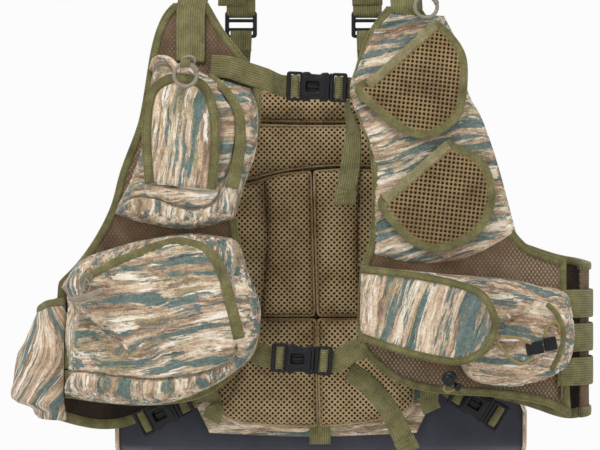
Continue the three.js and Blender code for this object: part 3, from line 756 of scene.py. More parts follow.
def lifted(front, ring, line, out):  # a line in x and z, laid on a pocket's own front
    line = np.asarray(line, float)[:, :2]
    away = np.where(inside(line, ring), nearest(line, ring)[0], 0)
    return np.stack([line[:, 0], front(line, away) - out, line[:, 1]], 1)


def band(name, front, ring, line, width, material, body, out=0.8 * mm, thick=2 * mm, closed=False):
    line = lifted(front, ring, smoothed(line, 1, closed), out)
    if isinstance(width, tuple):
        width = np.interp(np.linspace(0, 1, len(line)), np.linspace(0, 1, len(width)), width)
    return strip(name, smoothed(line, 2, closed), width, thick, (0, -1, 0), material, body,
                 closed=closed)


def inner(ring, inset):  # the ring moved inwards
    normal = unit(np.stack([np.roll(ring[:, 1], -1) - np.roll(ring[:, 1], 1),
                            np.roll(ring[:, 0], 1) - np.roll(ring[:, 0], -1)], 1))
    if inside(ring[:1] + normal[:1] * 1 * mm, ring)[0]:
        return smoothed(ring + normal * inset, 3, True)
    return smoothed(ring - normal * inset, 3, True)


addFrontPanels()
print("front panels are cut and bound")


def insetLine(line, ring, inset):  # an open line along a ring's edge, moved inwards
    normal = unit(np.stack([np.gradient(line[:, 1]), -np.gradient(line[:, 0])], 1))
    middle = len(line) // 2
    sign = 1 if inside(line[[middle]] + normal[[middle]] * 2 * mm, ring)[0] else -1
    return line + normal * sign * inset


def seamStitches(name, lines, body, material="paleThread", out=0.4 * mm, pitch=3.4 * mm):
    return stitches(name, lines, (0, -1, 0), material, body, pitch, lift=out)


callPocket = {
    "outline": [(0.307, 1.011, 1), (0.255, 0.957), (0.21, 0.681), (0.165, 0.447), (0.088, 0.266),
                (-0.035, 0.069, 1), (0.165, 0.016), (0.526, -0.027), (0.849, 0.037, 1), (0.92, 0.234),
                (1.004, 0.447), (1.017, 0.681), (0.959, 0.814, 1), (0.668, 0.894), (0.488, 0.957)],
    "fold": [(0.05, 0.24), (0.165, 0.284), (0.464, 0.217), (0.683, 0.203), (0.741, 0.25)],
    "gusset": [(-0.025, 0.084), (0.119, 0.16), (0.292, 0.151), (0.487, 0.103), (0.66, 0.113),
               (0.741, 0.189), (0.799, 0.303), (0.85, 0.45), (0.85, 0.65), (0.75, 0.8)],
    "zipBand": [(0.66, 0.892), (0.776, 0.806), (0.868, 0.692), (0.897, 0.559), (0.879, 0.388),
                (0.833, 0.217)],
    "roll": [(0.25, 0.93), (0.28, 0.985), (0.36, 0.985), (0.42, 0.94), (0.44, 0.9)],
    "base": 3.5 * mm,
    "depth": 27 * mm,
    "edge": 20 * mm,
}
callFlap = {
    "outline": [(0.055, 0.017, 1), (0.014, 0.383), (0.041, 0.75), (0.193, 0.95), (0.566, 1.033),
                (0.966, 0.95), (1.145, 0.717), (1.186, 0.383), (1.131, -0.042, 1)],
    "base": 38 * mm,
    "binding": 11 * mm,
}
zipPocket = {
    "outline": [(-0.085, 0.655, 1), (0.028, 0.825), (0.185, 0.898), (0.376, 0.96), (0.626, 1.006),
                (0.812, 0.989), (0.91, 0.944), (0.959, 0.774), (1.023, 0.582), (1.032, 0.452), (1.008, 0.288),
                (0.944, 0.175), (0.763, 0.034), (0.557, -0.062), (0.376, -0.085), (0.101, -0.068),
                (-0.075, -0.028, 1), (-0.036, 0.141), (-0.055, 0.35), (-0.041, 0.582)],
    "zipBand": [(0.097, 0.729), (0.248, 0.825), (0.376, 0.881), (0.557, 0.949), (0.694, 0.927),
                (0.787, 0.859), (0.831, 0.74), (0.876, 0.559), (0.92, 0.35)],
    "faceSeam": [(-0.044, 0.078), (0.029, 0.131), (0.265, 0.11), (0.474, 0.099), (0.72, 0.141),
                 (0.884, 0.215), (0.902, 0.309)],
    "dent": [(-0.062, 0.582), (0.138, 0.404), (0.265, 0.288)],
    "base": 3.5 * mm,
    "depth": 36 * mm,
    "edge": 26 * mm,
}


def below(nodeName, share):
    limit = inBox(nodeName, [(0, share)])[0][1]
    return lambda x, z: z < limit


def callPocketPieces():
    cp, cf = callPocket, callFlap
    ring = outline(inBox("call_pocket", cp["outline"]))
    fold, gusset, zipBand, roll = (flowLine(inBox("call_pocket",
                                                  cp[k])) for k in ("fold", "gusset", "zipBand", "roll"))
    front = pocketFront(
        ring, cp["base"], cp["depth"], cp["edge"],
        seams=[(fold, 2 * mm, 7 * mm), (gusset, 1.8 * mm, 8 * mm)],
        folds=[(inBox("call_pocket", [(0.1, 0.1)])[0][:2], (0.018, 0.016), 3 * mm),
               (inBox("call_pocket", [(0.32, 0.19)])[0][:2], (0.06, 0.01), 3 * mm)],
        lean=(0, -0.25), crumple=2 * mm,
    )
    pouch = patch("callPouch", ring, front, flatBack(3.3 * mm), "camo", "vest", 3.4 * mm, turn=4,
                  replaces="call_pocket", lines=(fold, gusset),
                  gusset=(np.vstack([gusset, gusset[:1] + (-0.03, 0.2), gusset[:1] - (0.03, 0)]),
                          below("call_pocket", 0.3)))
    puff(pouch, (fold, gusset))
    front = surfaceOf(pouch, front)
    band("callZipBand", front, ring, zipBand, (8 * mm, 11 * mm, 15 * mm), "binding", "vest",
         1.2 * mm, 2.6 * mm)
    strip("callRoll", lifted(front, ring, roll, 3 * mm), 9 * mm, 9 * mm, (0, -1, 0), "camo", "vest")
    flapRing = outline(inBox("call_flap", cf["outline"]))
    away = lambda flat, gap: torsoY(flat[:, 0], flat[:, 1]) - cf["base"] - 1.8 * mm * rounded(gap, 1.6 * mm)
    flap = patch("callFlapFace", flapRing, away, flatBack(36.4 * mm), "camo", "call_flap", 4.5 * mm,
                 turn=82, shift=0.4, replaces="call_flap")
    points = inBox("call_flap", cf["outline"])
    edge = flowLine([p[:2] for p in points], 4 * mm)
    path = insetLine(edge, flapRing, cf["binding"] * 0.42)
    tape = np.stack([path[:, 0], torsoY(path[:, 0], path[:, 1]) - cf["base"] - 1.6 * mm, path[:, 1]], 1)
    strip("callFlapBinding", smoothed(tape, 2), cf["binding"], 4.2 * mm, (0, -1, 0), "binding", "call_flap")
    seamStitches("callFlapStitches",
                 [shifted(tape, (0, -1, 0), s * cf["binding"] * 0.36, 2.1 * mm) for s in (1, -1)],
                 "call_flap", "thread")


def raised(front, box):  # the pocket stands out to meet the zip's slider
    low, high = box
    spot = np.array([[(low.x + high.x) / 2, (low.z + high.z) / 2]])
    reach = 30 * mm
    lift = float(front(spot, np.array([20 * mm]))[0] - high.y)

    def built(flat, away):
        hill = np.exp(-(((flat - spot) / reach) ** 2).sum(1)) * np.clip(away / (9 * mm), 0, 1)
        return front(flat, away) - lift * hill

    print("   raised by", round(lift * 1000, 1), "mm at the zip's slider")
    return built


def zipPocketPieces():
    zp = zipPocket
    ring = outline(inBox("zip_pocket", zp["outline"]))
    zipBand, faceSeam, dent = (flowLine(inBox("zip_pocket", zp[k])) for k in ("zipBand", "faceSeam", "dent"))
    edgeX = inBox("zip_pocket", [(0.885, 0)])[0][0]
    bump = inBox("zip_pocket", [(0.02, 0.32), (0.14, 0.2), (0.62, 0.5), (0.2, 0.62), (0.35, 0.03)])
    front = pocketFront(
        ring, zp["base"], zp["depth"], zp["edge"],
        seams=[(faceSeam, 1.8 * mm, 7 * mm), (dent, 8 * mm, 12 * mm)],
        folds=[(bump[0], (0.02, 0.022), 6 * mm), (bump[1], (0.025, 0.012), 2 * mm),
               (bump[2], (0.05, 0.03), 2 * mm), (bump[4], (0.07, 0.012), 3 * mm)],
        crumple=2.4 * mm, size=0.05, seed=5,
    )
    front = raised(front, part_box("zip_slider"))
    pouch = patch("zipPouch", ring, front, flatBack(3.3 * mm), "camo", "vest", 3.6 * mm, turn=6,
                  shift=0.9,
                  replaces="zip_pocket", lines=(faceSeam, zipBand),
                  gusset=(np.vstack([zipBand, faceSeam[::-1]]), lambda x, z: x < edgeX))
    puff(pouch, (faceSeam, zipBand), 6 * mm)
    front = surfaceOf(pouch, front)
    band("zipPocketBand", front, ring, zipBand, (8 * mm, 11 * mm, 13 * mm), "binding", "vest",
         1.6 * mm, 3 * mm)
    seamStitches("zipPocketSeam", [lifted(front, ring, faceSeam, 0)], "vest", "thread", 0.2 * mm)
    return front, ring


callPocketPieces()
zipPocketPieces()
print("pockets on the wearer's right are sewn")


leftChest = {
    "overlay": [(0.219, 0.985, 1), (0.1, 0.905), (-0.008, 0.77), (-0.056, 0.668), (-0.026, 0.588),
                (0.058, 0.453), (0.112, 0.328), (0.1, 0.215), (0.106, -0.011, 1), (0.321, -0.04),
                (0.547, -0.044), (0.768, -0.015), (0.965, 0.047), (1.061, 0.08, 1), (0.941, 0.35),
                (0.834, 0.54), (0.739, 0.657), (0.697, 0.825), (0.583, 0.974, 1)],
    "upper": [(0.767, 0.985, 1), (0.013, 0.451, 1), (-0.103, 0.398), (0.042, 0.278), (0.283, 0.105),
              (0.554, 0), (0.748, 0.008), (0.96, 0.113), (1.067, 0.256), (1.105, 0.549), (1.067, 0.729),
              (0.912, 0.895)],
    "lower": [(0.644, 0.983, 1), (0.022, 0.449, 1), (-0.012, 0.39), (0.109, 0.22), (0.299, 0.025),
              (0.523, -0.051), (0.747, -0.008), (0.954, 0.119), (1.058, 0.271), (1.11, 0.458),
              (1.058, 0.695), (0.954, 0.822)],
    "base": 3.5 * mm,
    "thick": 3 * mm,
    "hem": 12 * mm,
    "binding": 11.5 * mm,
}
holster = {
    "outline": [(0.009, 1.053, 1), (0.188, 1.061), (0.411, 1.023), (0.715, 0.985), (0.876, 0.924),
                (1.028, 0.856), (1.068, 0.629), (1.068, 0.432), (1.041, 0.265), (0.987, 0.182),
                (0.876, 0.098),
                (0.715, 0.068), (0.58, 0.1), (0.514, 0.17), (0.469, 0.3), (0.402, 0.365), (0.2, 0.45),
                (0, 0.52, 1)],
    "flap": [(0.019, 1.044, 1), (0.234, 1.015), (0.474, 0.968), (0.714, 0.892), (0.896, 0.778),
             (0.987, 0.531), (0.987, 0.379), (0.935, 0.189), (0.838, 0.085), (0.714, 0.018),
             (0.474, 0.066), (0.234, 0.16), (0.006, 0.274, 1)],
    "elasticBand": [(0.911, 0.774), (0.961, 0.69), (0.994, 0.549), (0.986, 0.394), (0.936, 0.212)],
    "upperLeg": [(0.658, 0.514), (0.745, 0.5), (0.82, 0.451)],
    "lowerLeg": [(0.646, 0.479), (0.712, 0.338), (0.778, 0.282), (0.836, 0.338)],
    "loop": [(0.9, 0.465), (0.905, 0.56), (0.936, 0.62), (0.969, 0.6), (0.972, 0.53)],
    "base": 3.5 * mm,
    "binding": 8.5 * mm,
}


def leftChestPieces():
    lc = leftChest
    ring = outline(inBox("left_chest_overlay", lc["overlay"]))
    front = pocketFront(ring, lc["base"], lc["thick"], 2 * mm, crumple=0.8 * mm)
    overlay = patch("chestOverlay", ring, front, flatBack(3.3 * mm), "camo", "vest", 5 * mm, turn=14,
                    shift=1.7, replaces="left_chest_overlay")
    for part, nodeName, depth in (("upper", "mesh_pocket_upper", 17 * mm),
                                  ("lower", "mesh_pocket_lower", 15 * mm)):
        points = inBox(nodeName, lc[part])
        pocketRing = outline(points)
        cup = pocketFront(pocketRing, 7.2 * mm, depth, 26 * mm, crumple=1.6 * mm, size=0.03, seed=7)
        lining = patch(part + "PocketLining", pocketRing,
                       lambda flat, away: cup(flat, away) + 2.2 * mm * np.clip(away / (4 * mm), 0, 1),
                       flatBack(6.6 * mm), "dark", "vest", 4.5 * mm, replaces=nodeName)
        netting(part + "PocketNet", pocketRing, cup, 4.8 * mm, "vest", 0.5 * mm, turn=38,
                hole=0.39,
                material="shadedPocketNet")
        mouth = flowLine([points[0][:2], points[1][:2]], 4 * mm)
        side = np.array([mouth[-1][1] - mouth[0][1], mouth[0][0] - mouth[-1][0]])
        side = side / np.linalg.norm(side)
        if not inside(mouth[[len(mouth) // 2]] + side * 3 * mm, pocketRing)[0]:
            side = -side
        band(part + "PocketHem", cup, pocketRing, mouth + side * lc["hem"] * 0.45, lc["hem"], "hem", "vest",
             1.6 * mm, 2.6 * mm)
        stitchLine = lifted(cup, pocketRing, mouth + side * lc["hem"] * 0.8, 2.9 * mm)
        seamStitches(part + "HemStitches", [stitchLine], "vest", "thread", 0.1 * mm)
        rim = flowLine([p[:2] for p in points[1:]] + [points[0][:2]], 4 * mm)
        centre = pocketRing.mean(0)
        rim = rim + unit(centre[None] - rim) * lc["binding"] * 0.3
        band(part + "PocketBinding", cup, pocketRing, rim, lc["binding"], "binding", "vest",
             1.2 * mm, 2.8 * mm)


def netting(name, ring, front, pitch, body, out=0.4 * mm, turn=0.0, hole=0.36, thick=1.1 * mm,
            material="net"):
    # threads of a square lattice standing on its corner, with a rim sunk round each hole
    reach = pitch / math.sqrt(2)
    low, high = ring.min(0), ring.max(0)
    middle = (low + high) / 2
    c, s = math.cos(math.radians(turn)), math.sin(math.radians(turn))
    half = np.linalg.norm(high - low) / 2
    count = int(half / reach) + 1
    cells = [(i, j) for j in range(-count, count + 1) for i in range(-count, count + 1) if (i + j) % 2 == 0]
    centres = np.array(cells, float) * reach
    centres = np.stack([centres[:, 0] * c - centres[:, 1] * s, centres[:, 0] * s + centres[:, 1] * c],
                       1) + middle
    keep = inside(centres, ring) & (nearest(centres, ring)[0] > pitch * 0.35)
    around = np.arange(8) * math.pi / 4
    outer = np.stack([np.cos(around), np.sin(around)], 1) * np.where(np.arange(8) % 2 == 0, reach,
                                                                     reach * 0.7071)[:, None]
    rim = np.stack([np.cos(around), np.sin(around)], 1) * pitch * hole
    shapes = [outer, rim, rim * 0.93]
    turnBy = np.array([[c, s], [-s, c]])
    flat, faces, shared = [], [], {}
    for index in np.nonzero(keep)[0]:
        ids = []
        for level, shape in enumerate(shapes):
            spots = shape @ turnBy + centres[index]
            for p in spots:
                key = (round(p[0] * 1e5), round(p[1] * 1e5), level if level else 0)
                if level or key not in shared:
                    shared[key] = len(flat)
                    flat.append((p[0], p[1], level))
                ids.append(shared[key])
        for k in range(8):
            m = (k + 1) % 8
            faces.append((ids[k], ids[m], ids[8 + m], ids[8 + k]))
            faces.append((ids[8 + k], ids[8 + m], ids[16 + m], ids[16 + k]))
    flat = np.array(flat)
    xz = flat[:, :2]
    away = np.where(inside(xz, ring), nearest(xz, ring)[0], 0)
    sink = np.array([0.0, 0.1, 1.0])[flat[:, 2].astype(int)] * thick
    verts = np.stack([xz[:, 0], front(xz, away) - out + sink, xz[:, 1]], 1)
    print("  ", name, len(verts), "points")
    net = newPiece(name, verts, faces, material, body, clothPlace=verts)
    return net


def holsterPieces():
    ho = holster
    ring = outline(inBox("call_holster", ho["outline"]))
    dips = inBox("call_holster",
                 [(0.42, 0.2), (0.56, 0.24), (0.62, 0.3), (0.8, 0.62), (0.9, 0.3), (0.72, 0.5)])
    tuck = flowLine(inBox("call_holster", [(0.52, 0.3), (0.6, 0.2), (0.72, 0.14), (0.9, 0.16)]))
    throat = flowLine(inBox("call_holster", [(0.6, 0.46), (0.7, 0.6), (0.82, 0.7), (0.93, 0.66)]))
    pull = flowLine(inBox("call_holster", [(0.56, 0.4), (0.64, 0.25), (0.78, 0.2)]))
    front = pocketFront(
        ring, ho["base"], 30 * mm, 24 * mm,
        seams=[(tuck, 4 * mm, 3 * mm), (throat, 5 * mm, 6 * mm), (pull, 4 * mm, 4 * mm)],
        folds=[(dips[3], (0.02, 0.012), 3 * mm), (dips[4], (0.02, 0.01), -3 * mm),
               (dips[5], (0.012, 0.02), -5 * mm)],
        lean=(0.35, -0.2), crumple=2.6 * mm, size=0.035, seed=11,
    )
    body = patch("holsterBody", ring, front, flatBack(3.3 * mm), "camo", "vest", 3.6 * mm, turn=-6,
                 shift=2.6,
                 replaces="call_holster")
    puff(body, (), 6 * mm, 0.05)
    flapRing = outline(inBox("holster_flap", ho["flap"]))
    over = holsterFlapY()
    pressed = np.array([tuple(v.co) for v in body.data.vertices])
    beneath = inside(pressed[:, [0, 2]], flapRing)
    pressed[beneath, 1] = np.maximum(pressed[beneath, 1], over(pressed[beneath]) + 1.5 * mm)
    body.data.vertices.foreach_set("co", pressed.astype(np.float32).ravel())
    body.data.update()
    front = surfaceOf(body, front)
    face = patch("holsterFlapFace", flapRing, lambda flat,
                 away: over(flat) - 2.6 * mm * rounded(away, 1.6 * mm),
                 lambda flat, away: over(flat), "camo", "holster_flap", 4.5 * mm, turn=74, shift=3.3,
                 replaces="holster_flap")
    points = inBox("holster_flap", ho["flap"])
    edge = flowLine([p[:2] for p in points], 4 * mm)
    path = smoothed(insetLine(edge, flapRing, ho["binding"] * 0.42), 2)
    tape = np.stack([path[:, 0], over(path) - 2.2 * mm, path[:, 1]], 1)
    strip("holsterFlapBinding", tape, ho["binding"], 4.4 * mm, (0, -1, 0), "binding", "holster_flap")
    lines = [shifted(tape, (0, -1, 0), s * ho["binding"] * 0.36, 2.2 * mm) for s in (1, -1)]
    seamStitches("holsterFlapStitches", lines, "holster_flap", "thread")
    line = flowLine(inBox("call_holster", ho["elasticBand"]))
    band("holsterElastic", front, ring, line, 6 * mm, "binding", "vest", 1.2 * mm, 1.8 * mm)
    for name in ("upperLeg", "lowerLeg", "loop"):
        line = flowLine(inBox("call_holster", ho[name]), 2 * mm)
        bow = 1.5 * mm + 2 * mm * np.sin(np.linspace(0, math.pi, len(line)))
        path = lifted(front, ring, line, 0)
        path[:, 1] = np.minimum(path[:, 1] - bow, holsterFlapY()(path) + 1 * mm if name != "loop" else 1)
        roundCord("holster" + name[0].upper() + name[1:], smoothed(path, 2), 3 * mm, "mustard", "vest")
    return front, ring


def holsterFlapY():
    low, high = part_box("holster_flap")

    def over(flat):
        z = flat[:, 1] if flat.shape[1] == 2 else flat[:, 2]
        t = np.clip((flat[:, 0] - low.x) / (high.x - low.x), 0, 1)
        middle = (z - (low.z + high.z) / 2) / (high.z - low.z)
        return low.y + 4 * mm + 26 * mm * (1 - t) ** 1.6 + 7 * mm * middle**2

    return over


def roundCord(name, line, size, material, body, sides=7, closed=False):
    across, normal = lineFrames(line, (0.1, -1, 0.1))[1:]
    angle = np.arange(sides) * 2 * math.pi / sides
    verts = (
        line[:, None]
        + across[:, None] * np.cos(angle)[None, :, None] * size / 2
        + normal[:, None] * np.sin(angle)[None, :, None] * size / 2
    ).reshape(-1, 3)
    rings = len(line)
    faces = []
    for i in range(rings if closed else rings - 1):
        j = (i + 1) % rings
        for k in range(sides):
            m = (k + 1) % sides
            faces.append((i * sides + k, i * sides + m, j * sides + m, j * sides + k))
    if not closed:
        faces += [tuple(range(sides))[::-1], tuple((rings - 1) * sides + k for k in range(sides))]
    return newPiece(name, verts, faces, material, body)


leftChestPieces()
holsterFront, holsterRing = holsterPieces()
print("pockets on the wearer's left are sewn")



def rowsPiece(name, rows, material, body, replaces=(), clothPlace=None, closed=False):
    # a closed body over rows of points, each row a closed ring
    rows = np.asarray(rows, float)
    count, around = rows.shape[:2]
    faces = []
    for i in range(count if closed else count - 1):
        j = (i + 1) % count
        for k in range(around):
            m = (k + 1) % around
            faces.append((i * around + k, i * around + m, j * around + m, j * around + k))
    if not closed:
        faces += [tuple(range(around))[::-1], tuple((count - 1) * around + k for k in range(around))]
    piece = newPiece(name, rows.reshape(-1, 3), faces, material, body, replaces, clothPlace)
    return facingOut(piece)


def facingOut(piece):
    mesh = piece.data
    mesh.calc_loop_triangles()
    co = np.array([v.co for v in mesh.vertices])
    tri = np.array([t.vertices for t in mesh.loop_triangles])
    volume = np.einsum("ij,ij->i", co[tri[:, 0]], np.cross(co[tri[:, 1]], co[tri[:, 2]])).sum()
    if volume < 0:
        mesh.flip_normals()
    return piece


# ---- back: mesh pads, shell and game bag

backPads = {
    "rings": {
        "back_pad_top": [(0, 0.05, 1), (0.5, -0.02), (1, 0.0, 1), (0.97, 1, 1), (0.03, 1, 1)],
        "back_pad_shoulder": [(0, -0.2, 1), (0.125, -0.14), (0.3, 0), (0.52, 0.1), (0.75, 0.136), (1, 0.1, 1),
                              (1, 0.98, 1), (0.5, 0.96), (0, 1, 1)],
        "back_pad_right": [(0.035, 0.915, 1), (0.287, 0.94), (0.6, 1), (0.957, 1.025, 1), (0.98, 0.5),
                           (1, 0, 1), (0, 0, 1), (0.05, 0.5)],
        "back_pad_left": [(0.005, 1.025, 1), (0.407, 1.038), (0.906, 1.02, 1), (0.93, 0.5), (1, 0, 1),
                          (0.049, 0, 1), (0.025, 0.5)],
        "lumbar_pad_right": [(0.083, 1, 1), (0.03, 0.6), (0, 0.25), (0.05, 0.1), (0.2, 0.02), (0.6, -0.02),
                             (0.995, -0.03, 1), (0.985, 0.5), (0.98, 1, 1)],
        "lumbar_pad_left": [(0, 1, 1), (0.01, 0.5), (0.025, -0.03, 1), (0.4, 0), (0.75, 0.06), (0.95, 0.14),
                            (1, 0.3), (0.97, 0.6), (0.86, 1, 1)],
    },
    "seams": {
        "back_pad_right": [(0.43, 0.95), (0.463, 0.576), (0.44, 0.3), (0.40, 0)],
        "back_pad_left": [(0.55, 1.03), (0.52, 0.576), (0.53, 0.3), (0.56, 0)],
        "lumbar_pad_right": [(0.42, 1.0), (0.3, 0.7), (0.1, 0.2)],
        "lumbar_pad_left": [(0.5, 1.0), (0.6, 0.75), (0.92, 0.25)],
    },
    "bulge": {"back_pad_top": 18, "back_pad_shoulder": 24, "lumbar_pad_right": 28, "lumbar_pad_left": 28},
    "pitch": 4.7 * mm,
}


def backPadPieces():
    bp = backPads
    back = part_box("back_pad_right")[1].y
    for nodeName, points in bp["rings"].items():
        ring = outline(inBox(nodeName, points))
        seam = bp["seams"].get(nodeName)
        seam = flowLine(inBox(nodeName, seam)) if seam else None
        bulge = bp["bulge"].get(nodeName, 24) * mm
        soft = nodeName.startswith("lumbar")

        def front(flat, away, seam=seam, bulge=bulge, soft=soft):
            gap = away
            if seam is not None:
                toSeam = nearest(flat, seam, False)[0]
                gap = np.minimum(away, toSeam * (2.2 if soft else 1) + (10 * mm if soft else 0))
            y = back - 10 * mm * rounded(away, 5 * mm) - bulge * rounded(gap, 34 * mm if soft else 28 * mm)
            return y - 1 * mm * ripple(flat, 0.05, 4)

        core = patch(nodeName + "Core", ring, lambda flat,
                     away: front(flat, away) + 2.4 * mm * rounded(away, 5 * mm),
                     lambda flat, away: back + 0 * away, "dark", "vest", 5 * mm,
                     replaces=nodeName)
        netting(nodeName + "Net", ring, front, bp["pitch"], "vest", 0.2 * mm)
        edge = lifted(front, ring, inner(ring, 1.6 * mm), 0.3 * mm)
        roundCord(nodeName + "Rim", np.vstack([edge, edge[:1]]), 3.2 * mm, "net", "vest")
    low = outline(inBox("lumbar_pad_right", bp["rings"]["lumbar_pad_right"]))
    other = outline(inBox("lumbar_pad_left", bp["rings"]["lumbar_pad_left"]))
    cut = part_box("lumbar_pad_right")[0].z + 30 * mm
    path = np.vstack([low[low[:, 1] < cut], other[other[:, 1] < cut]])
    path = path[np.argsort(path[:, 0])]
    path = smoothed(path[(np.abs(path[:, 0]) < 0.125)], 6)
    path = np.stack([path[:, 0], np.full(len(path), back - 12 * mm), path[:, 1] - 3 * mm], 1)
    strip("lumbarPiping", path, 7 * mm, 7 * mm, (0, -1, 0), "camo", "vest")
    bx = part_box("lumbar_pad_left")
    tab = [(bx[0].x + 4 * mm, back - 16 * mm, bx[0].z + d * mm) for d in (6, -4, -14, -24)]
    strip("lumbarTab", flowLine(tab), 25 * mm, 2 * mm, (0, -1, 0), "webbing", "vest")
    lines = []
    for nodeName, ends in (("back_pad_shoulder", (0, 5)), ("back_pad_top", (0, 2))):
        points = inBox(nodeName, bp["rings"][nodeName])[ends[0] : ends[1] + 1]
        line = flowLine([p[:2] for p in points])
        lines.append(np.stack([line[:, 0], np.full(len(line), back - 11.5 * mm), line[:, 1] - 0.5 * mm], 1))
    seamStitches("padSeamStitches", lines, "vest", "paleThread", 1 * mm, 4.2 * mm)


shellBack = {
    "shell": [(0.17, 1, 1), (0.1, 0.9), (0.02, 0.6), (0, 0.4), (0.02, 0.15), (0.1, 0, 1), (0.5, -0.01),
              (0.9, 0, 1), (0.98, 0.15), (1, 0.4), (0.97, 0.6), (0.87, 0.9), (0.8, 1, 1)],
    "bag": [(0.05, 1, 1), (0.5, 1.02), (0.95, 1, 1), (1, 0.7), (1, 0.3), (0.97, 0.08), (0.88, 0.0),
            (0.5, -0.02), (0.12, 0.0), (0.03, 0.08), (0, 0.3), (0, 0.7)],
    "lid": [(0.02, 1.0, 1), (0.5, 1.03), (0.98, 1.0, 1), (1.0, 0.8), (0.97, 0.66), (0.85, 0.6), (0.5, 0.57),
            (0.15, 0.6), (0.03, 0.66), (0, 0.8)],
    "binding": 10 * mm,
}


def backTape(name, line, y, width, material="binding", closed=True, thick=2.4 * mm, body="vest"):
    path = np.stack([line[:, 0], y, line[:, 1]], 1)
    return strip(name, smoothed(path, 2, closed), width, thick, (0, 1, 0), material, body,
                 closed=closed)


def backShellPieces():
    sb = shellBack
    low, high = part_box("back_shell")
    ring = outline(inBox("back_shell", sb["shell"]))
    shell = patch("backShell", ring, lambda flat, away: low.y + 0 * away,
                  lambda flat, away: low.y + 1 * mm + 2.5 * mm * rounded(away,
                        3 * mm) + 0.8 * mm * ripple(flat, 0.05, 2),
                  "camo", "vest", 7 * mm, turn=3, shift=5, replaces="back_shell")
    rim = inner(ring, sb["binding"] * 0.4)
    backTape("backShellBinding", rim, np.full(len(rim), high.y + 0.6 * mm), sb["binding"])
    low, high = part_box("game_bag")
    ring = outline(inBox("game_bag", sb["bag"]))
    depth = high.y - low.y - 3 * mm

    def bagBack(flat, away):
        w = (flat[:, 1] - low.z) / (high.z - low.z)
        y = low.y + 2 * mm + depth * (1 - 0.3 * w) * rounded(away, 34 * mm)
        return y + np.clip(away / 0.02, 0, 1) * 3 * mm * ripple(flat, 0.06,
                                                                9) + 1 * mm * ripple(flat, 0.02, 2)

    bag = patch("gameBag", ring, lambda flat, away: low.y + 0 * away, bagBack, "camo", "vest", 5 * mm,
                turn=-3, shift=6.2, replaces="game_bag")
    puff(bag, (), 6 * mm, 0.04, "back")
    bagBack = surfaceOf(bag, bagBack, -1)
    rim = inner(ring, 3 * mm)
    backTape("gameBagBinding", rim, bagBack(rim, np.full(len(rim), 3 * mm)) + 0.6 * mm, 8 * mm)
    lid = outline(inBox("game_bag", sb["lid"]))
    gap = lambda flat: np.where(inside(flat, ring), nearest(flat, ring)[0], 0)
    patch("gameBagLid", lid, lambda flat, away: bagBack(flat, gap(flat)) - 1 * mm,
          lambda flat, away: bagBack(flat, gap(flat)) + 2.4 * mm * rounded(away, 1.5 * mm) + 0.5 * mm,
          "camo", "vest", 5 * mm, turn=8, shift=8)
    rim = inner(lid, 3.6 * mm)
    backTape("gameBagLidBinding", rim, bagBack(rim, gap(rim)) + 2.6 * mm, 8 * mm)
    for side, u in (("Right", 0.26), ("Left", 0.74)):
        line = flowLine(inBox("game_bag", [(u, 1.12), (u, 0.8), (u, 0.5), (u, 0.2), (u, -0.06)]), 6 * mm)
        y = bagBack(line, gap(line)) + 3.4 * mm
        y[line[:, 1] > high.z] = low.y + 2 * mm
        backTape("gameBagStrap" + side, line, np.maximum(smoothed(y[:, None], 6)[:, 0], low.y + 2 * mm),
                 20 * mm,
                 "webbing", False)
        buckleSpot = int(len(line) * 0.42)
        slider = [(line[buckleSpot, 0], y[buckleSpot] + 1.5 * mm, line[buckleSpot, 1])]
        triGlide("gameBagSlider" + side, slider[0], 0, 0.9, (0, 1, 0))


def triGlide(name, centre, turn, size, facing, body="vest"):
    # a slider of three bars, seen from its own front
    w, h = 17 * mm * size, 12 * mm * size
    outer = roundedBox(-w, w, -h, h, 3.5 * mm * size)
    holes = [roundedBox(-w * 0.76, w * 0.76, s * h * 0.44 - h * 0.24, s * h * 0.44 + h * 0.24, 1.2 * mm)
             for s in (-1, 1)]
    return plate(name, outer, holes, 3.4 * mm, 0.8 * mm, placeAt(centre, turn, facing), "plastic", body)


def roundedBox(x0, x1, z0, z1, r, steps=5):
    made = []
    for cx, cz, start in ((x1 - r, z1 - r, 0), (x0 + r, z1 - r, 90), (x0 + r, z0 + r, 180),
                          (x1 - r, z0 + r, 270)):
        for a in np.radians(start + np.linspace(0, 90, steps)):
            made.append((cx + r * math.cos(a), cz + r * math.sin(a)))
    return made


def placeAt(centre, turn=0.0, facing=(0, -1, 0)):
    # plate x runs along the piece, plate y up, and its front looks along facing
    front = Vector(facing).normalized()
    side = Vector((0, 0, 1)).cross(front).normalized()
    up = front.cross(side)
    basis = Matrix((side, up, front)).transposed().to_4x4()
    return Matrix.Translation(centre) @ basis @ Matrix.Rotation(math.radians(turn), 4, "Z")


def plate(name, outer, holes, thick, bevel, matrix, material, body, lift=0.0, replaces=()):
    curve = bpy.data.curves.new(name, "CURVE")
    curve.dimensions = "2D"
    curve.fill_mode = "BOTH"
    curve.extrude = thick / 2 - bevel
    curve.bevel_depth = bevel
    curve.bevel_resolution = 2
    curve.offset = -bevel
    for line in [outer, *holes]:
        spline = curve.splines.new("POLY")
        spline.points.add(len(line) - 1)
        for point, (x, y) in zip(spline.points, line):
            point.co = (x, y, lift, 1)
        spline.use_cyclic_u = True
    maker = bpy.data.objects.new(name + "Maker", curve)
    bpy.context.collection.objects.link(maker)
    bpy.context.view_layer.update()
    made = bpy.data.meshes.new_from_object(maker.evaluated_get(bpy.context.evaluated_depsgraph_get()))
    bpy.data.objects.remove(maker)
    bpy.data.curves.remove(curve)
    made.transform(matrix @ Matrix.Translation((0, 0, lift)))
    co = [tuple(v.co) for v in made.vertices]
    faces = [tuple(p.vertices) for p in made.polygons]
    bpy.data.meshes.remove(made)
    piece = newPiece(name, co, faces, material, body, replaces, smooth=False)
    return welded(piece)


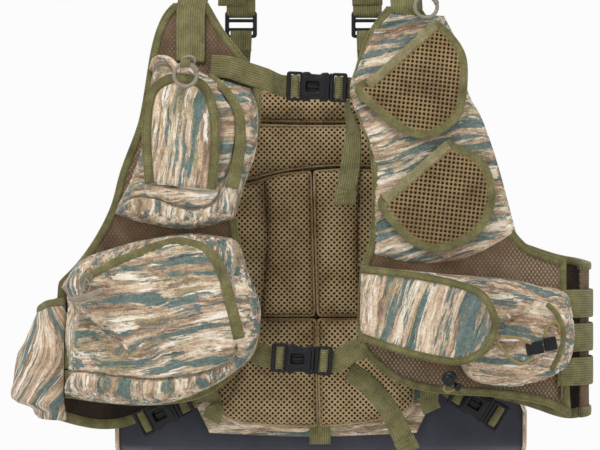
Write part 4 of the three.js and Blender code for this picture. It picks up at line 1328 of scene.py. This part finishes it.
def welded(piece):
    work = bmesh.new()
    work.from_mesh(piece.data)
    bmesh.ops.remove_doubles(work, verts=work.verts, dist=1e-6)
    bmesh.ops.recalc_face_normals(work, faces=work.faces)
    work.to_mesh(piece.data)
    work.free()
    piece.data.shade_smooth()
    piece.data.set_sharp_from_angle(angle=math.radians(32))
    return piece


backPadPieces()
backShellPieces()
print("back pads, shell and game bag are made")


# ---- wings, side ladders, bottle pocket

wing = {
    "from": {-1: -17, 1: -18},
    "to": 65,
    "thick": 3 * mm,
    "binding": 12 * mm,
    "low": {-1: [(-17, 23), (0, 23), (15, 17), (29, 8), (42, 1), (52, 6), (58, 20), (65, 34)],
            1: [(-18, 25), (0, 27), (12, 20), (24, 16), (38, 28), (50, 38), (65, 46)]},
    "high": {-1: [(-17, 90), (15, 88), (35, 70), (50, 40), (65, 14)],
             1: [(-18, 44), (0, 44), (30, 36), (50, 15), (65, 2)]},
}


def eased(table, degrees):  # a table of degrees and millimetres, with its corners rounded off
    return np.mean([np.interp(degrees + d, *np.array(table).T) for d in (-7, -4, -1, 1, 4, 7)], 0) * mm


def wingLow(side, degrees):
    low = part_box("right_side_wing" if side < 0 else "left_side_wing")[0].z
    return low + eased(wing["low"][side], degrees)


def wingHigh(side, degrees):
    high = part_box("right_side_wing" if side < 0 else "left_side_wing")[1].z
    return high - eased(wing["high"][side], degrees)


def sideLine(side, degrees, out, z):
    x, y = torsoSide(side, degrees, out)
    return np.stack([x, y, np.broadcast_to(z, np.shape(x))], 1)


def wingPieces():
    for side, word in ((-1, "right"), (1, "left")):
        degrees = np.linspace(wing["from"][side], wing["to"], 40)
        rows = []
        for d in degrees:
            z = np.linspace(wingLow(side, d), wingHigh(side, d), 26)
            slack = 1.5 * mm * np.sin(np.linspace(0, math.pi, 26)) * math.sin(d * 0.12)
            outer = sideLine(side, np.full(26, d), wing["thick"] + slack, z)
            innerRow = sideLine(side, np.full(26, d), 0 * slack, z)
            rows.append(np.vstack([outer, innerRow[::-1]]))
        kept = np.array(rows)
        kept[..., 0], kept[..., 1] = np.linspace(0, 0.25, len(degrees))[:, None], 0
        sheet = rowsPiece(word + "Wing", rows, "brownMesh", "vest", word + "_side_wing",
                          kept.reshape(-1, 3))
        # the wings' inner faces get a dark sheet of painted shade, a darker copy of the brown mesh
        shadeSheet = np.array(rows)[:, 26:] - [(side * 0.6 * mm, 0, 0)]
        shadeSheet = np.concatenate([shadeSheet - [(side * 0.8 * mm, 0, 0)], shadeSheet[:, ::-1]], 1)
        rowsPiece(word + "WingShadeSheet", shadeSheet, "paintedShadeMesh", "vest")
        tall = np.mean([wingHigh(side, d) - wingLow(side, d) for d in degrees])
        # cut as a strip 0.25 long
        for part, edgeZ in (("Low", wingLow), ("High", wingHigh)):
            shift = 3 * mm if part == "Low" else -3 * mm
            line = np.vstack([sideLine(side, np.array([d]), 1.5 * mm,
                                       edgeZ(side, d) + shift) for d in degrees])
            wide = wing["binding"] if part == "Low" else 9 * mm
            facing = np.stack([line[:, 0] / 0.09, line[:, 1] / 0.0064, 0 * line[:, 0]], 1)
            strip(word + "Wing" + part + "Binding", line, wide, 7 * mm, unit(facing), "binding", "vest")
        ladderPieces(side, word)


def ladderPieces(side, word):
    low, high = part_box(word + "_side_ladder")
    spread = np.linspace(-33, 8, 16)
    first = True
    for i in range(3):
        top = high.z - (1 + i * 38.5 if side > 0 else 26 + i * 33) * mm
        z = top - 16.5 * mm
        line = sideLine(side, spread, 5.6 * mm + 1.2 * mm * np.sin(np.linspace(0, math.pi, 16)), z)
        line[0] -= (line[1] - line[0]) * 0.2
        facing = unit(np.stack([line[:, 0] / 0.09, line[:, 1] / 0.0064, 0 * line[:, 0]], 1))
        strip(word + "Rung" + "ABC"[i], line, 32 * mm, 2.2 * mm, facing, "webbing", "vest",
              replaces=word + "_side_ladder" if first else ())
        first = False
    for part, degrees in (("Front", -31), ("Rear", 6)):
        z = np.linspace(low.z + 4 * mm, high.z - (1 if side > 0 else 26) * mm, 20)
        line = sideLine(side, np.full(20, degrees), 4 * mm, z)
        strip(word + "Post" + part, line, 9 * mm, 2 * mm, unit(line[0] * (1, 1, 0)), "binding", "vest")


bottle = {"across": (24, -27),
          "belly": [(-0.02, 6), (0.06, 17), (0.15, 31), (0.26, 39), (0.42, 38), (0.6, 32), (0.8, 21), (1, 9)]}


def bottlePieces():
    low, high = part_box("bottle_pocket")
    shares = np.array(bottle["belly"])
    columns, levels = 30, 28
    w = np.linspace(0, 1, levels)
    rows = []
    for v in np.linspace(0, 1, columns):
        degrees = bottle["across"][0] + (bottle["across"][1] - bottle["across"][0]) * v
        top = high.z - np.interp(v, (0, 0.45, 0.75, 1), (22, 18, 6, 2)) * mm
        z = low.z - 4 * mm + (top - low.z + 4 * mm) * w
        belly = np.interp(w, shares[:, 0], shares[:, 1]) * mm * (1 - 0.8 * abs(2 * v - 1) ** 3)
        sag = 5 * mm * np.exp(-(((w - 0.26 + 0.14
                                  * v) / 0.05) ** 2)) - 8 * mm * np.exp(-(((w - 0.17 + 0.14
                                                                            * v) / 0.04) ** 2))
        tuck = 7 * mm * np.exp(-(((w - 0.85) / 0.13) ** 2 + ((v - 0.72) / 0.1) ** 2))
        rough = np.array([noise.noise(Vector((v * 3, t * 4, 2))) + 0.5
                          * noise.noise(Vector((v * 9, t * 9, 5))) for t in w])
        out = 4 * mm + belly + np.clip(belly / 0.02, 0, 1) * (2.6 * mm * rough + sag - tuck)
        outer = sideLine(-1, np.full(levels, degrees), np.maximum(out, 4.5 * mm), z)
        innerRow = sideLine(-1, np.full(levels, degrees), np.maximum(out - 3 * mm, 4 * mm),
                            z + 1.5 * mm * (1 - w))
        rows.append(np.vstack([outer, innerRow[::-1]]))
    rows = np.array(rows)
    printed = rows.copy()
    printed[..., 0] = rows[..., 2]  # the print hangs down and runs round the pocket
    printed[..., 1] = 0.02
    printed[..., 2] = np.linspace(0, 0.17, columns)[:, None] + 0.03 * np.sin(rows[..., 2] * 30)
    pouch = rowsPiece("bottlePouch", rows, "camo", "vest", "bottle_pocket", printed.reshape(-1, 3))
    rim = smoothed(rows[:, levels - 1] - (0, 0, 2.5 * mm), 2)
    facing = unit(rim * (1, 1, 0) - (-0.2, 0, 0))
    strip("bottleRim", rim, 9 * mm, 4.6 * mm, facing, "binding", "vest")


wingPieces()
bottlePieces()
print("wings, ladders and bottle pocket are made")



# ---- side-release buckles, their webbing and the other fittings

buckles = {
    "chest": {"bodies": ("chest_socket", "vest"), "turn": 2, "nodes": "chest_buckle_"},
    "waist": {"bodies": ("waist_socket", "vest"), "turn": 4, "nodes": "waist_buckle_"},
    "hipRight": {"bodies": ("right_hip_socket", "vest"), "turn": -27, "nodes": "right_hip_"},
    "hipLeft": {"bodies": ("vest", "left_hip_plug"), "turn": 32, "nodes": "left_hip_"},
}
webbing = {"width": 25 * mm, "thick": 1.7 * mm,
           "loop": [(40, 4.6), (33, 4.4), (30.2, 3.3), (28.9, 0), (27.6, -3.3),
                                                       (24.5, -4.6), (21.4, -3.3), (20.3, 0)]}


# the frame holds each socket's box; the buckle's middle is one share of the way across
def buckleCentre(kind):
    nodes = buckles[kind]["nodes"]
    socketLow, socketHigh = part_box(nodes + "socket")
    plugLow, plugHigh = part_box(nodes + "plug")
    turn = math.radians(buckles[kind]["turn"])
    x = (socketLow.x + plugHigh.x) / 2
    z = (min(socketLow.z, plugLow.z) + max(socketHigh.z, plugHigh.z)) / 2
    return Vector((x, (socketLow.y + socketHigh.y) / 2, z)), turn


def alongBuckle(kind, local):  # buckle coordinates: along, deep, up
    centre, turn = buckleCentre(kind)
    c, s = math.cos(turn), math.sin(turn)
    return [(centre.x + x * c + z * s, centre.y + y, centre.z - x * s + z * c) for x, y, z in local]


def addBuckle(kind):
    info = buckles[kind]
    socketBody, plugBody = info["bodies"]
    centre, turn = buckleCentre(kind)
    nodes = info["nodes"]

    def flat(name, outer, holes, thick, body, out=0.0, bevel=0.7 * mm, replaces=()):
        spot = placeAt(centre + Vector((0, -out, 0)), -math.degrees(turn))
        return plate(kind + name, outer, holes, thick, bevel, spot, "plastic", body,
                     replaces=replaces)

    r = roundedBox
    u = mm
    waisted = [(-18, -14), (-15.5, -16.3), (-9, -16.5), (-6.5, -14.4), (3, -14), (6, -16), (11.5, -16.5),
               (13.3, -14.5),
               (13.3, 14.5), (11.5, 16.5), (6, 16), (3, 14), (-6.5, 14.4), (-9, 16.5), (-15.5, 16.3),
               (-18, 14)]
    shell = [(x * u, z * u) for x, z in waisted]
    window = r(-12 * u, 1.5 * u, -5.4 * u, 5.4 * u, 1.6 * u)
    flat("Shell", shell, [window], 10 * u, socketBody, bevel=1.6 * mm, replaces=nodes + "socket")
    flat("ShellFront", [(x * u * 0.86 - 0.2 * u, z * u * 0.72) for x, z in waisted],
         [r(-13 * u, 2.6 * u, -6.4 * u, 6.4 * u, 2 * u)], 1.6 * u, socketBody, 5.3 * u, 0.6 * mm)
    flat("Floor", r(-14 * u, 12 * u, -9.5 * u, 9.5 * u, 2 * u), [], 1.4 * u, socketBody, -3.8 * u, 0.4 * mm)
    flat("Lip", r(9.2 * u, 13.8 * u, -15.6 * u, 15.6 * u, 1.6 * u), [], 1.8 * u, socketBody, 5.2 * u,
         0.7 * mm)
    slotRight = r(-29.8 * u, -26.2 * u, -13.2 * u, 13.2 * u, 1.2 * u)
    slotInner = r(-22.8 * u, -19.4 * u, -13.2 * u, 13.2 * u, 1.2 * u)
    flat("SocketFrame", r(-34.4 * u, -15.8 * u, -16.5 * u, 16.5 * u, 3.2 * u), [slotRight, slotInner],
         5.4 * u,
         socketBody, 0, 1.1 * mm)
    mirror = lambda ring: [(-x, z) for x, z in ring][::-1]
    flat("PlugFrame", mirror(r(-34.4 * u, -16.4 * u, -16.5 * u, 16.5 * u, 3.2 * u)),
         [mirror(slotRight), mirror(slotInner)],
         5.4 * u, plugBody, 0, 1.1 * mm, replaces=nodes + "plug")
    flat("PlugBody", r(13.9 * u, 18.6 * u, -15.6 * u, 15.6 * u, 1.6 * u), [], 8.6 * u, plugBody, 0, 1.2 * mm)
    flat("Guide", r(-11 * u, 16 * u, -1.6 * u, 1.6 * u, 1.2 * u), [], 4.6 * u, plugBody)
    if kind in ("chest", "waist"):
        for sign, word in ((1, "upper"), (-1, "lower")):
            arm = [(13.4, 7.6), (6, 7.9), (-1, 8.8), (-7, 10), (-7.6, 12.2), (-5.5, 13.5), (1.5, 13.6),
                   (3, 12), (7, 10.8),
                   (13.4, 11)]
            ring = [(x * u, sign * z * u) for x, z in arm]
            flat(word.capitalize() + "Arm", ring if sign < 0 else ring[::-1], [], 4.8 * u,
                 f"{kind}_arm_{word}", 0, 0.7 * mm, nodes + "arm_" + word)
    else:
        for sign, word in ((1, "Upper"), (-1, "Lower")):
            arm = [(14.5, 7.6), (6, 7.9), (-1, 8.8), (-7, 10), (-7.6, 12.2), (-5.5, 13.5), (1.5, 13.6),
                   (3, 12), (7, 10.8),
                   (14.5, 11)]
            ring = [(x * u, sign * z * u) for x, z in arm]
            flat(word + "Arm", ring if sign < 0 else ring[::-1], [], 4.8 * u, plugBody)


def loopPoints(kind, side):  # webbing round the buckle's outer bar, front to back, then through
    return alongBuckle(kind, [(side * a * mm, d * mm, 0) for a, d in webbing["loop"]])


def strapPiece(name, points, nodeName, across, width=None, body="vest", thick=None, step=2.5 * mm):
    line = smoothed(flowLine(points, step), 2)
    return strip(name, line, width or webbing["width"], thick or webbing["thick"], (0, -1, 0), "webbing",
                 body,
                 replaces=nodeName, across=across)


def chestAndWaistWebbing():
    for kind in ("chest", "waist", "hipRight", "hipLeft"):
        addBuckle(kind)
    for kind, side, points in (
        ("chest", -1, [(-0.111, -0.0745, -0.1515), (-0.092, -0.078, -0.153), (-0.076, -0.0775, -0.158),
                       (-0.060, -0.076, -0.163), (-0.045, -0.072, -0.168)]),
        ("waist", -1, [(-0.064, -0.0625, -0.473), (-0.056, -0.066, -0.475)]),
        ("chest", 1, [(0.066, -0.058, -0.180), (0.059, -0.0572, -0.178), (0.052, -0.056, -0.177)]),
        ("waist", 1, [(0.060, -0.0695, -0.468), (0.052, -0.0685, -0.471), (0.044, -0.0665, -0.474)]),
    ):
        turn = buckleCentre(kind)[1]
        tilt = (math.sin(turn), 0, math.cos(turn))
        nodeName = f"{kind}_strap_" + ("right" if side < 0 else "left")
        piece = strapPiece(kind + ("Right" if side < 0 else "Left") + "Webbing",
                           points + loopPoints(kind, side),
                           nodeName, tilt, body=None if side < 0 else "vest")
        if side < 0:
            start, end = points[0], alongBuckle(kind, [(-40 * mm, 0, 0)])[0]
            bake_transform(piece)
            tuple(start)
            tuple(end)


def tailPieces():
    low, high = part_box("chest_strap_tail")
    rise = high.z - low.z
    shares = [(0.42, 0.1, 1.05), (0.5, 0.2, 0.9), (0.66, 0.3, 0.72), (0.6, 0.3, 0.5), (0.52, 0.35, 0.3),
              (0.4, 0.3, 0.12), (0.34, 0.3, 0.0)]
    points = [(low.x + u * (high.x - low.x), low.y + v * (high.y - low.y), low.z + w * rise) for u, v,
              w in shares]
    line = smoothed(flowLine(points, 3 * mm), 3)
    t = np.linspace(0, 1, len(line))[:, None]
    twist = np.clip((t - 0.1) / 0.5, 0, 1)
    across = unit((1 - twist) * np.array([0.25, -1, 0.1]) + twist * np.array([1, -0.12, 0.12]))
    strip("chestTail", line, webbing["width"] * 0.9, 1.8 * mm, (0, -1, 0), "webbing", "vest",
          "chest_strap_tail", across=across)
    foldedTab("chestTailTab", line[-4:], across[-1], 23.5 * mm)
    low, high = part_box("waist_strap_tail")
    shares = [(0.02, 0.1, 0.93), (0.16, 0.25, 0.86), (0.34, 0.35, 0.72), (0.52, 0.3, 0.52), (0.64, 0.3, 0.33),
              (0.74, 0.3, 0.14), (0.82, 0.3, 0.0)]
    points = [(low.x + u * (high.x - low.x), low.y + v * (high.y - low.y), low.z + w * (high.z - low.z))
              for u, v, w in shares]
    line = smoothed(flowLine(points, 3 * mm), 3)
    t = np.linspace(0, 1, len(line))[:, None]
    across = unit((1 - t) * np.array([0.35, 0.1, 0.94]) + t * np.array([0.93, -0.05, 0.36]))
    strip("waistTail", line, webbing["width"] * 0.92, 1.8 * mm, (0, -1, 0), "webbing", "vest",
          "waist_strap_tail", across=across)
    foldedTab("waistTailTab", line[-4:], across[-1], 23.5 * mm)


def foldedTab(name, line, across, width):  # the strap's end, folded over and stitched
    ahead = unit(line[-1] - line[0])
    points = [line[0] - ahead * 4 * mm + (0, -1.6 * mm, 0), line[-1] + (0, -1.7 * mm, 0),
              line[-1] + ahead * 2.5 * mm + (0, 0.2 * mm, 0), line[-1] + (0, 2.0 * mm, 0),
              line[0] - ahead * 3 * mm + (0, 2.0 * mm, 0)]
    strip(name, flowLine(points, 1.5 * mm), width * 1.05, 1.8 * mm, (0, -1, 0), "webbing", "vest",
          across=across)
    middle = line[0] + (line[-1] - line[0]) * 0.3 + np.array((0, -3.0 * mm, 0))
    ends = [[middle + across * s * width * 0.38 + ahead * k * mm for s in (-1, 0, 1)] for k in (-3, 3)]
    stitches(name + "Stitches", ends, (0, -1, 0), "thread", "vest", 2.6 * mm, 1.8 * mm, lift=0)


def shoulderPieces():
    for side, word, points in (
        (-1, "right", [(0.02, 0.0, 0.0), (0.03, 0.02, 0.1), (0.03, 0.08, 0.4), (0.12, 0.12, 0.55),
                       (0.30, 0.27, 0.84),
                       (0.56, 0.53, 0.995), (0.79, 0.86, 0.82), (0.79, 0.985, 0.52)]),
        (1, "left", [(0.76, 0.0, 0.02), (0.75, 0.02, 0.14), (0.72, 0.21, 0.74), (0.5, 0.48, 0.99),
                     (0.25, 0.84, 0.7),
                     (0.25, 0.985, 0.19)]),
    ):
        low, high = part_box(word + "_shoulder_strap")
        line = [(low.x + 19 * mm * (1 - u) + u * (high.x - low.x - 19 * mm) if side < 0 else low.x + u
                 * (high.x - low.x),
                 low.y + v * (high.y - low.y), low.z + w * (high.z - low.z)) for u, v, w in points]
        line = [tuple(np.add(line[0], (0, 6 * mm, -18 * mm)))] + line if side > 0 else line
        wide = 33 * mm if side < 0 else 36 * mm
        strapPiece(word + "ShoulderWebbing", line, word + "_shoulder_strap", (1, 0, 0), wide, thick=2.2 * mm,
                   step=4 * mm)
        lockLow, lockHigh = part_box(word + "_ladder_lock")
        centre = (lockLow + lockHigh) / 2
        w, h = (lockHigh.x - lockLow.x) / 2, (lockHigh.z - lockLow.z) / 2
        outer = roundedBox(-w, w, -h, h, 4 * mm)
        holes = [roundedBox(-w * 0.74, w * 0.74, a * h, b * h, 1.2 * mm) for a,
                 b in ((-0.78, -0.48), (-0.26, 0.16), (0.4, 0.76))]
        plate(word + "LadderLock", outer, holes, 5.4 * mm, 1.1 * mm, placeAt(centre), "plastic",
              "vest", replaces=word + "_ladder_lock")
        top = lockHigh.z - 4 * mm
        over = [(centre.x, centre.y - 4 * mm, top + 24 * mm), (centre.x, centre.y - 4.4 * mm, top + 6 * mm),
                (centre.x, centre.y - 3 * mm, top), (centre.x, centre.y + 3 * mm, top - 3 * mm),
                (centre.x, centre.y + 4.4 * mm, top + 6 * mm), (centre.x, centre.y + 4.4 * mm, top + 22 * mm)]
        strip(word + "LockWebbing", flowLine(over, 2 * mm), 34 * mm, 2 * mm, (0, -1, 0), "webbing", "vest",
              across=(1, 0, 0))
        strapLow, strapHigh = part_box(word + "_back_strap")
        start = lockLow.z + 6 * mm
        end = (strapLow.x + strapHigh.x) / 2
        down = [(centre.x, centre.y - 4.6 * mm, start - 22 * mm),
                (centre.x, centre.y - 4.4 * mm, start - 4 * mm),
                (centre.x, centre.y - 1 * mm, start + 3 * mm),
                (centre.x, centre.y + 4.4 * mm, start + 4 * mm),
                (centre.x, centre.y + 5.2 * mm, start - 10 * mm), (end, centre.y + 10 * mm, start - 40 * mm),
                (end, strapHigh.y - 0.6 * mm, strapLow.z)]
        strip(word + "BackWebbing", smoothed(flowLine(down, 2 * mm), 2), 25 * mm, 1.8 * mm, (0, -1, 0),
              "webbing",
              "vest", word + "_back_strap", across=(1, 0, 0))


def ringPieces():
    for word, tilt in (("right", 0.1), ("left", -0.1)):
        low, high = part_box(word + "_ring")
        centre = np.array((low + high) / 2)
        outer, tube = (high.x - low.x) / 2, (high.y - low.y) / 2
        mid = outer - tube
        angle = np.linspace(0, 2 * math.pi, 49)[:-1]
        line = centre + np.stack([np.cos(angle) * mid, 0 * angle, np.sin(angle) * mid], 1)
        roundCord(word + "RingLoop", line, tube * 2 * 0.92, "ring", word + "_ring", 10, True)
        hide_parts(word + "_ring")
        gate = line[(angle > 0.25) & (angle < 1.25)]
        roundCord(word + "RingGate", gate, tube * 2 * 1.25, "ring", word + "_ring", 10)
        top = np.array((centre[0], centre[1], high.z))
        tab = [top + np.array(p) * mm for p in ((-1, 11, 9), (0, 4, 6), (0, -2.6, 1), (0, -3.2, -3.5),
                                                (0, 0.8, -6.4),
                                                (0, 4.4, -3), (0, 9, 2), (-1, 13, 4))]
        strip(word + "RingTab", smoothed(flowLine(tab, 1.5 * mm), 2), 11 * mm, 1.4 * mm, (0, -1, 0),
              "webbing", "vest",
              across=(1, 0, 0.1 * tilt))
        peg = [top + np.array(p) * mm for p in ((9, 2, -3), (10.5, 0, 1), (8, -1, 5), (3, -1, 5.5),
                                                (-4, 0, 3))]
        roundCord(word + "RingHook", smoothed(flowLine(peg, 1.5 * mm), 2), 3.2 * mm, "ring", "vest",
                  8)


def zipSliderPieces():
    low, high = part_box("zip_slider")
    centre = (low + high) / 2
    turn = 38
    body = [(-7.5, -3.2), (-3, -4.8), (4, -5), (7.6, -2.8), (7.6, 2.8), (4, 5), (-3, 4.8), (-7.5, 3.2)]
    plate("zipSliderBody", [(x * mm, z * mm) for x, z in body], [], 5 * mm, 1 * mm,
          placeAt(centre + Vector((0, 1.6 * mm, 0)), turn), "metal", "zip_slider",
          replaces="zip_slider")
    plate("zipSliderBridge", roundedBox(-4.6 * mm, 4.6 * mm, -1.5 * mm, 1.5 * mm, 1.2 * mm), [], 2.4 * mm,
          0.7 * mm,
          placeAt(centre + Vector((0, -2.2 * mm, 0)), turn), "metal", "zip_slider")
    low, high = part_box("zip_pull")
    hang = np.array((centre.x + 0.5 * mm, (low.y + high.y) / 2, high.z))
    cordLine = [hang + np.array(p) * mm for p in ((0, 0.4, 0.5), (3.4, 0, -5), (3.6, 0, -11),
                                                  (0.5, -0.2, -15.5))]
    other = [hang + np.array(p) * mm for p in ((0, 0.4, 0.5), (-2.6, 0, -5), (-2.6, 0, -11),
                                               (0, -0.2, -15.5))]
    roundCord("zipPullCordA", flowLine(cordLine, 1.5 * mm), 1.6 * mm, "ring", "zip_pull")
    roundCord("zipPullCordB", flowLine(other, 1.5 * mm), 1.6 * mm, "ring", "zip_pull")
    grip = [(low.x + u * (high.x - low.x), hang[1] + 0.2 * mm, low.z + w * (high.z - low.z))
            for u, w in ((0.0, 0.02), (0.2, -0.02), (0.5, 0.1), (0.72, 0.26), (1.02, 0.44))]
    line = smoothed(flowLine(grip, 1.5 * mm), 2)
    wide = 3.2 * mm + 4.2 * mm * np.sin(np.linspace(0.25, math.pi - 0.25, len(line)))
    strip("zipPullGrip", line, wide, 3.6 * mm, (0, -1, 0), "ring", "zip_pull", "zip_pull")


def turnedRows(profile, centre, axis, sides=20):  # rows of a turned piece: (along the axis, radius)
    axis = Vector(axis).normalized()
    side = axis.orthogonal().normalized()
    other = axis.cross(side)
    rows = []
    for along, radius in profile:
        rows.append([tuple(Vector(centre) + axis * along + (side * math.cos(a) + other * math.sin(a))
                           * radius)
                     for a in np.arange(sides) * 2 * math.pi / sides])
    return rows


def cordLockPieces():
    low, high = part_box("cord_lock")
    centre = (low + high) / 2
    axis = Vector((math.sin(0.35), math.cos(0.35), 0))
    body = [(-7.4, 2.5), (-7.2, 6.2), (-5.6, 7.6), (-1, 8.4), (4, 8), (6.8, 6.6), (8, 4), (8.2, 1.5)]
    rowsPiece("cordLockBody", turnedRows([(a * mm, r * mm) for a, r in body], centre, axis), "plastic",
              "vest",
              "cord_lock")
    low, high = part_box("cord_lock_button")
    tip = (low + high) / 2
    knob = [(-7.4, 1), (-7.0, 3.2), (-5.2, 4.4), (-2, 4.6), (6, 4.6), (7, 3.5)]
    rowsPiece("cordLockKnob", turnedRows([(a * mm, r * mm) for a, r in knob], tip, axis), "plastic",
              "cord_button",
              "cord_lock_button")
    ball = [(math.cos(a) * -4.6, max(0.4, math.sin(a) * 4.6)) for a in np.linspace(0, math.pi, 10)]
    spot = centre + Vector((9 * mm, 0, -9.5 * mm))
    rowsPiece("cordEnd", turnedRows([(a * mm, r * mm) for a, r in ball], spot, (0.3, -0.2, 1), 16),
              "plastic", "vest")
    loop = [centre + Vector(p) * mm for p in ((-3, 1, -6), (-6.5, -1, -10), (-5, -2, -14), (0, -2, -14),
                                              (6, -1, -11))]
    roundCord("cordLockLoop", flowLine(loop, 1.5 * mm), 2.2 * mm, "mustard", "vest")


def clipPieces(front, ring):  # the small hook where the holster's elastic ends
    for name, u, w, size, turn in (("holsterHook", 0.845, 0.405, (9.5, 7), 10),
                                   ("holsterClip", 0.925, 0.44, (7, 7.5), 10)):
        spot = np.array([inBox("call_holster", [(u, w)])[0][:2]])
        centre = lifted(front, ring, spot, 4 * mm)[0]
        a, b = size[0] * mm, size[1] * mm
        plate(name, roundedBox(-a, a, -b, b, 1.8 * mm), [], 6 * mm, 1.2 * mm, placeAt(centre, turn),
              "plastic", "vest")
        plate(name + "Rib", roundedBox(-a * 0.5, -a * 0.15, -b * 0.9, b * 0.9, 0.6 * mm), [], 2 * mm,
              0.5 * mm,
              placeAt(centre + np.array((0, -3.2 * mm, 0)), turn), "plastic", "vest")


def hipPieces():
    for kind, word, side, points in (
        ("hipRight", "right", 1, [(0.95, 0.98, 0.98), (0.96, 0.66, 0.82)]),
        ("hipLeft", "left", -1, [(0.04, 0.98, 0.98), (0.1, 0.5, 0.8)]),
    ):
        low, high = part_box(word + "_hip_strap")
        path = [(low.x + u * (high.x - low.x), low.y + v * (high.y - low.y), low.z + w * (high.z - low.z))
                for u, v, w in points]
        turn = buckleCentre(kind)[1]
        strapPiece(kind + "Webbing", path + loopPoints(kind, side), word + "_hip_strap",
                   (math.sin(turn), 0.25, math.cos(turn)))
        held = "right_hip_socket" if side > 0 else "left_hip_plug"
        stub = np.array(loopPoints(kind, -side)[1:])
        strip(kind + "Stub", smoothed(flowLine(stub, 2 * mm), 1), webbing["width"], webbing["thick"],
              (0, -1, 0),
              "webbing", held, across=(math.sin(turn), 0, math.cos(turn)))
        near = np.array(loopPoints(kind, side)[0])
        slack = [near + np.array(p) * mm for p in ((-side * 2, -3, 3), (side * 12, -8, 4),
                                                   (side * 22, -9, -2),
                                                   (side * 24, -6, -18), (side * 20, -3, -28))]
        strip(kind + "Slack", smoothed(flowLine(slack, 2.5 * mm), 2), 22 * mm, 1.7 * mm, (0, -1, 0),
              "webbing", "vest",
              across=(math.sin(turn) + 0.3, -0.2, math.cos(turn)))


# ---- the drop-down seat

seat = {"groove": (0.3, 0.62), "piping": 6 * mm}


def seatPieces():
    low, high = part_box("seat_hanger")
    middle, half = (low.x + high.x) / 2, (high.x - low.x) / 2
    profile = [(1, 0.0), (0.37, 0.0), (0.1, 0.05), (0.02, 0.3), (-0.06, 0.97)]
    z, y = np.array(profile).T
    line = flowLine(np.stack([z * (high.z - low.z) + low.z, y * (high.y - low.y) + low.y], 1), 5 * mm)
    rows = []
    for u in np.linspace(-1, 1, 34):
        wide = half * np.clip(0.9 + 0.1 * np.clip((high.z - line[:, 0]) / 0.06, 0, 1), 0, 1)
        wave = 1.6 * mm * math.sin(u * 9) * np.clip((line[:, 0] - low.z) / 0.08, 0, 1)
        x = middle + u * wide
        outer = np.stack([x, line[:, 1] - 0.4 * mm + wave * 0.4, line[:, 0]], 1)
        innerRow = np.stack([x, line[:, 1] + 2.4 * mm + wave * 0.4,
                             line[:, 0] + 2 * mm * (line[:, 1] > low.y + 20 * mm)], 1)
        rows.append(np.vstack([outer, innerRow[::-1]]))
    hanger = rowsPiece("seatHanger", rows, "grey", "vest", "seat_hanger")
    for sign, word in ((-1, "Right"), (1, "Left")):
        wide = half * (0.9 + 0.1 * np.clip((high.z - line[:, 0]) / 0.06, 0, 1))
        edge = np.stack([middle + sign * wide, line[:, 1] + 0.8 * mm, line[:, 0]], 1)
        strip("seatHangerEdge" + word, edge, 5 * mm, 5 * mm, (0, -1, 0), "camo", "vest",
              across=(1, 0, 0))
    low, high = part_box("seat_fold")
    rows = []
    for u in np.linspace(0, 1, 24):
        x = low.x + u * (high.x - low.x)
        section = [(0, 0.0), (0.6, 0.15), (0.8, 0.5), (0.6, 0.85), (0, 1.0), (-0.6, 0.85), (-0.8, 0.5),
                   (-0.6, 0.15)]
        rows.append([(x, (low.y + high.y) / 2 + a * 2 * mm,
                      low.z - 16 * mm + b * (high.z - low.z + 19 * mm)) for a, b in section])
    rowsPiece("seatFold", rows, "grey", "seat_link", "seat_fold")
    seatPad()


def seatPad():
    frontLow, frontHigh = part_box("seat_cover_front")
    pivot = np.array(((frontLow.x + frontHigh.x) / 2, (frontHigh.y + frontLow.y) / 2 + 19 * mm,
                      frontHigh.z + 2 * mm))
    lean = math.radians(-7.7)
    half = (frontHigh.x - frontLow.x) / 2
    tall = 300 * mm

    def swung(verts):
        v = np.asarray(verts)
        y, z = v[:, 1], v[:, 2]
        c, s = math.cos(lean), math.sin(lean)
        return np.stack([v[:, 0] + pivot[0], y * c - z * s + pivot[1], y * s + z * c + pivot[2]], 1)

    points = [(-1, -0.012), (-0.8, 0), (0, 0), (0.8, 0), (1, -0.012), (0.985, -0.45), (0.93, -0.9),
              (0.9, -0.97),
              (0.85, -1.0), (0, -1.01), (-0.85, -1.0), (-0.9, -0.97), (-0.93, -0.9), (-0.985, -0.45)]
    ring = outline([(u * half, w * tall, 1) if abs(u) == 1 else (u * half, w * tall) for u, w in points])
    grooves = [flowLine([(-half, -g * tall), (0, -g * tall - 4 * mm),
                         (half, -g * tall)]) for g in seat["groove"]]

    def swell(flat, away, depth):
        dip = sum(crease(flat, g, 6 * mm) for g in grooves)
        soft = 1.4 * mm * ripple(flat, 0.06, 3) + 0.7 * mm * ripple(flat, 0.02, 8)
        return depth * rounded(away,
                               22 * mm) * (1 - 0.35 * np.clip(dip, 0, 1)) + np.clip(away / 0.02, 0, 1) * soft

    middle = 20 * mm
    front = patch("seatFront", ring, lambda flat, away: middle - swell(flat, away, 19 * mm),
                  lambda flat, away: middle + 0 * away, "grey", "seat", 7 * mm,
                  replaces=("seat_cover_front", "seat_foam"), warp=swung)
    back = patch("seatBack", ring, lambda flat, away: middle + 0 * away,
                 lambda flat, away: middle + swell(flat, away, 19 * mm), "camo", "seat", 7 * mm,
                 turn=5, shift=9,
                 replaces="seat_cover_back", warp=swung)
    path = np.stack([ring[:, 0], np.full(len(ring), middle), ring[:, 1]], 1)
    roundCord("seatPiping", swung(smoothed(path, 1, True)), seat["piping"], "binding", "seat", 8,
              True)


chestAndWaistWebbing()
tailPieces()
shoulderPieces()
ringPieces()
zipSliderPieces()
cordLockPieces()
clipPieces(holsterFront, holsterRing)
hipPieces()
seatPieces()
print("buckles, webbing, rings and seat are made")
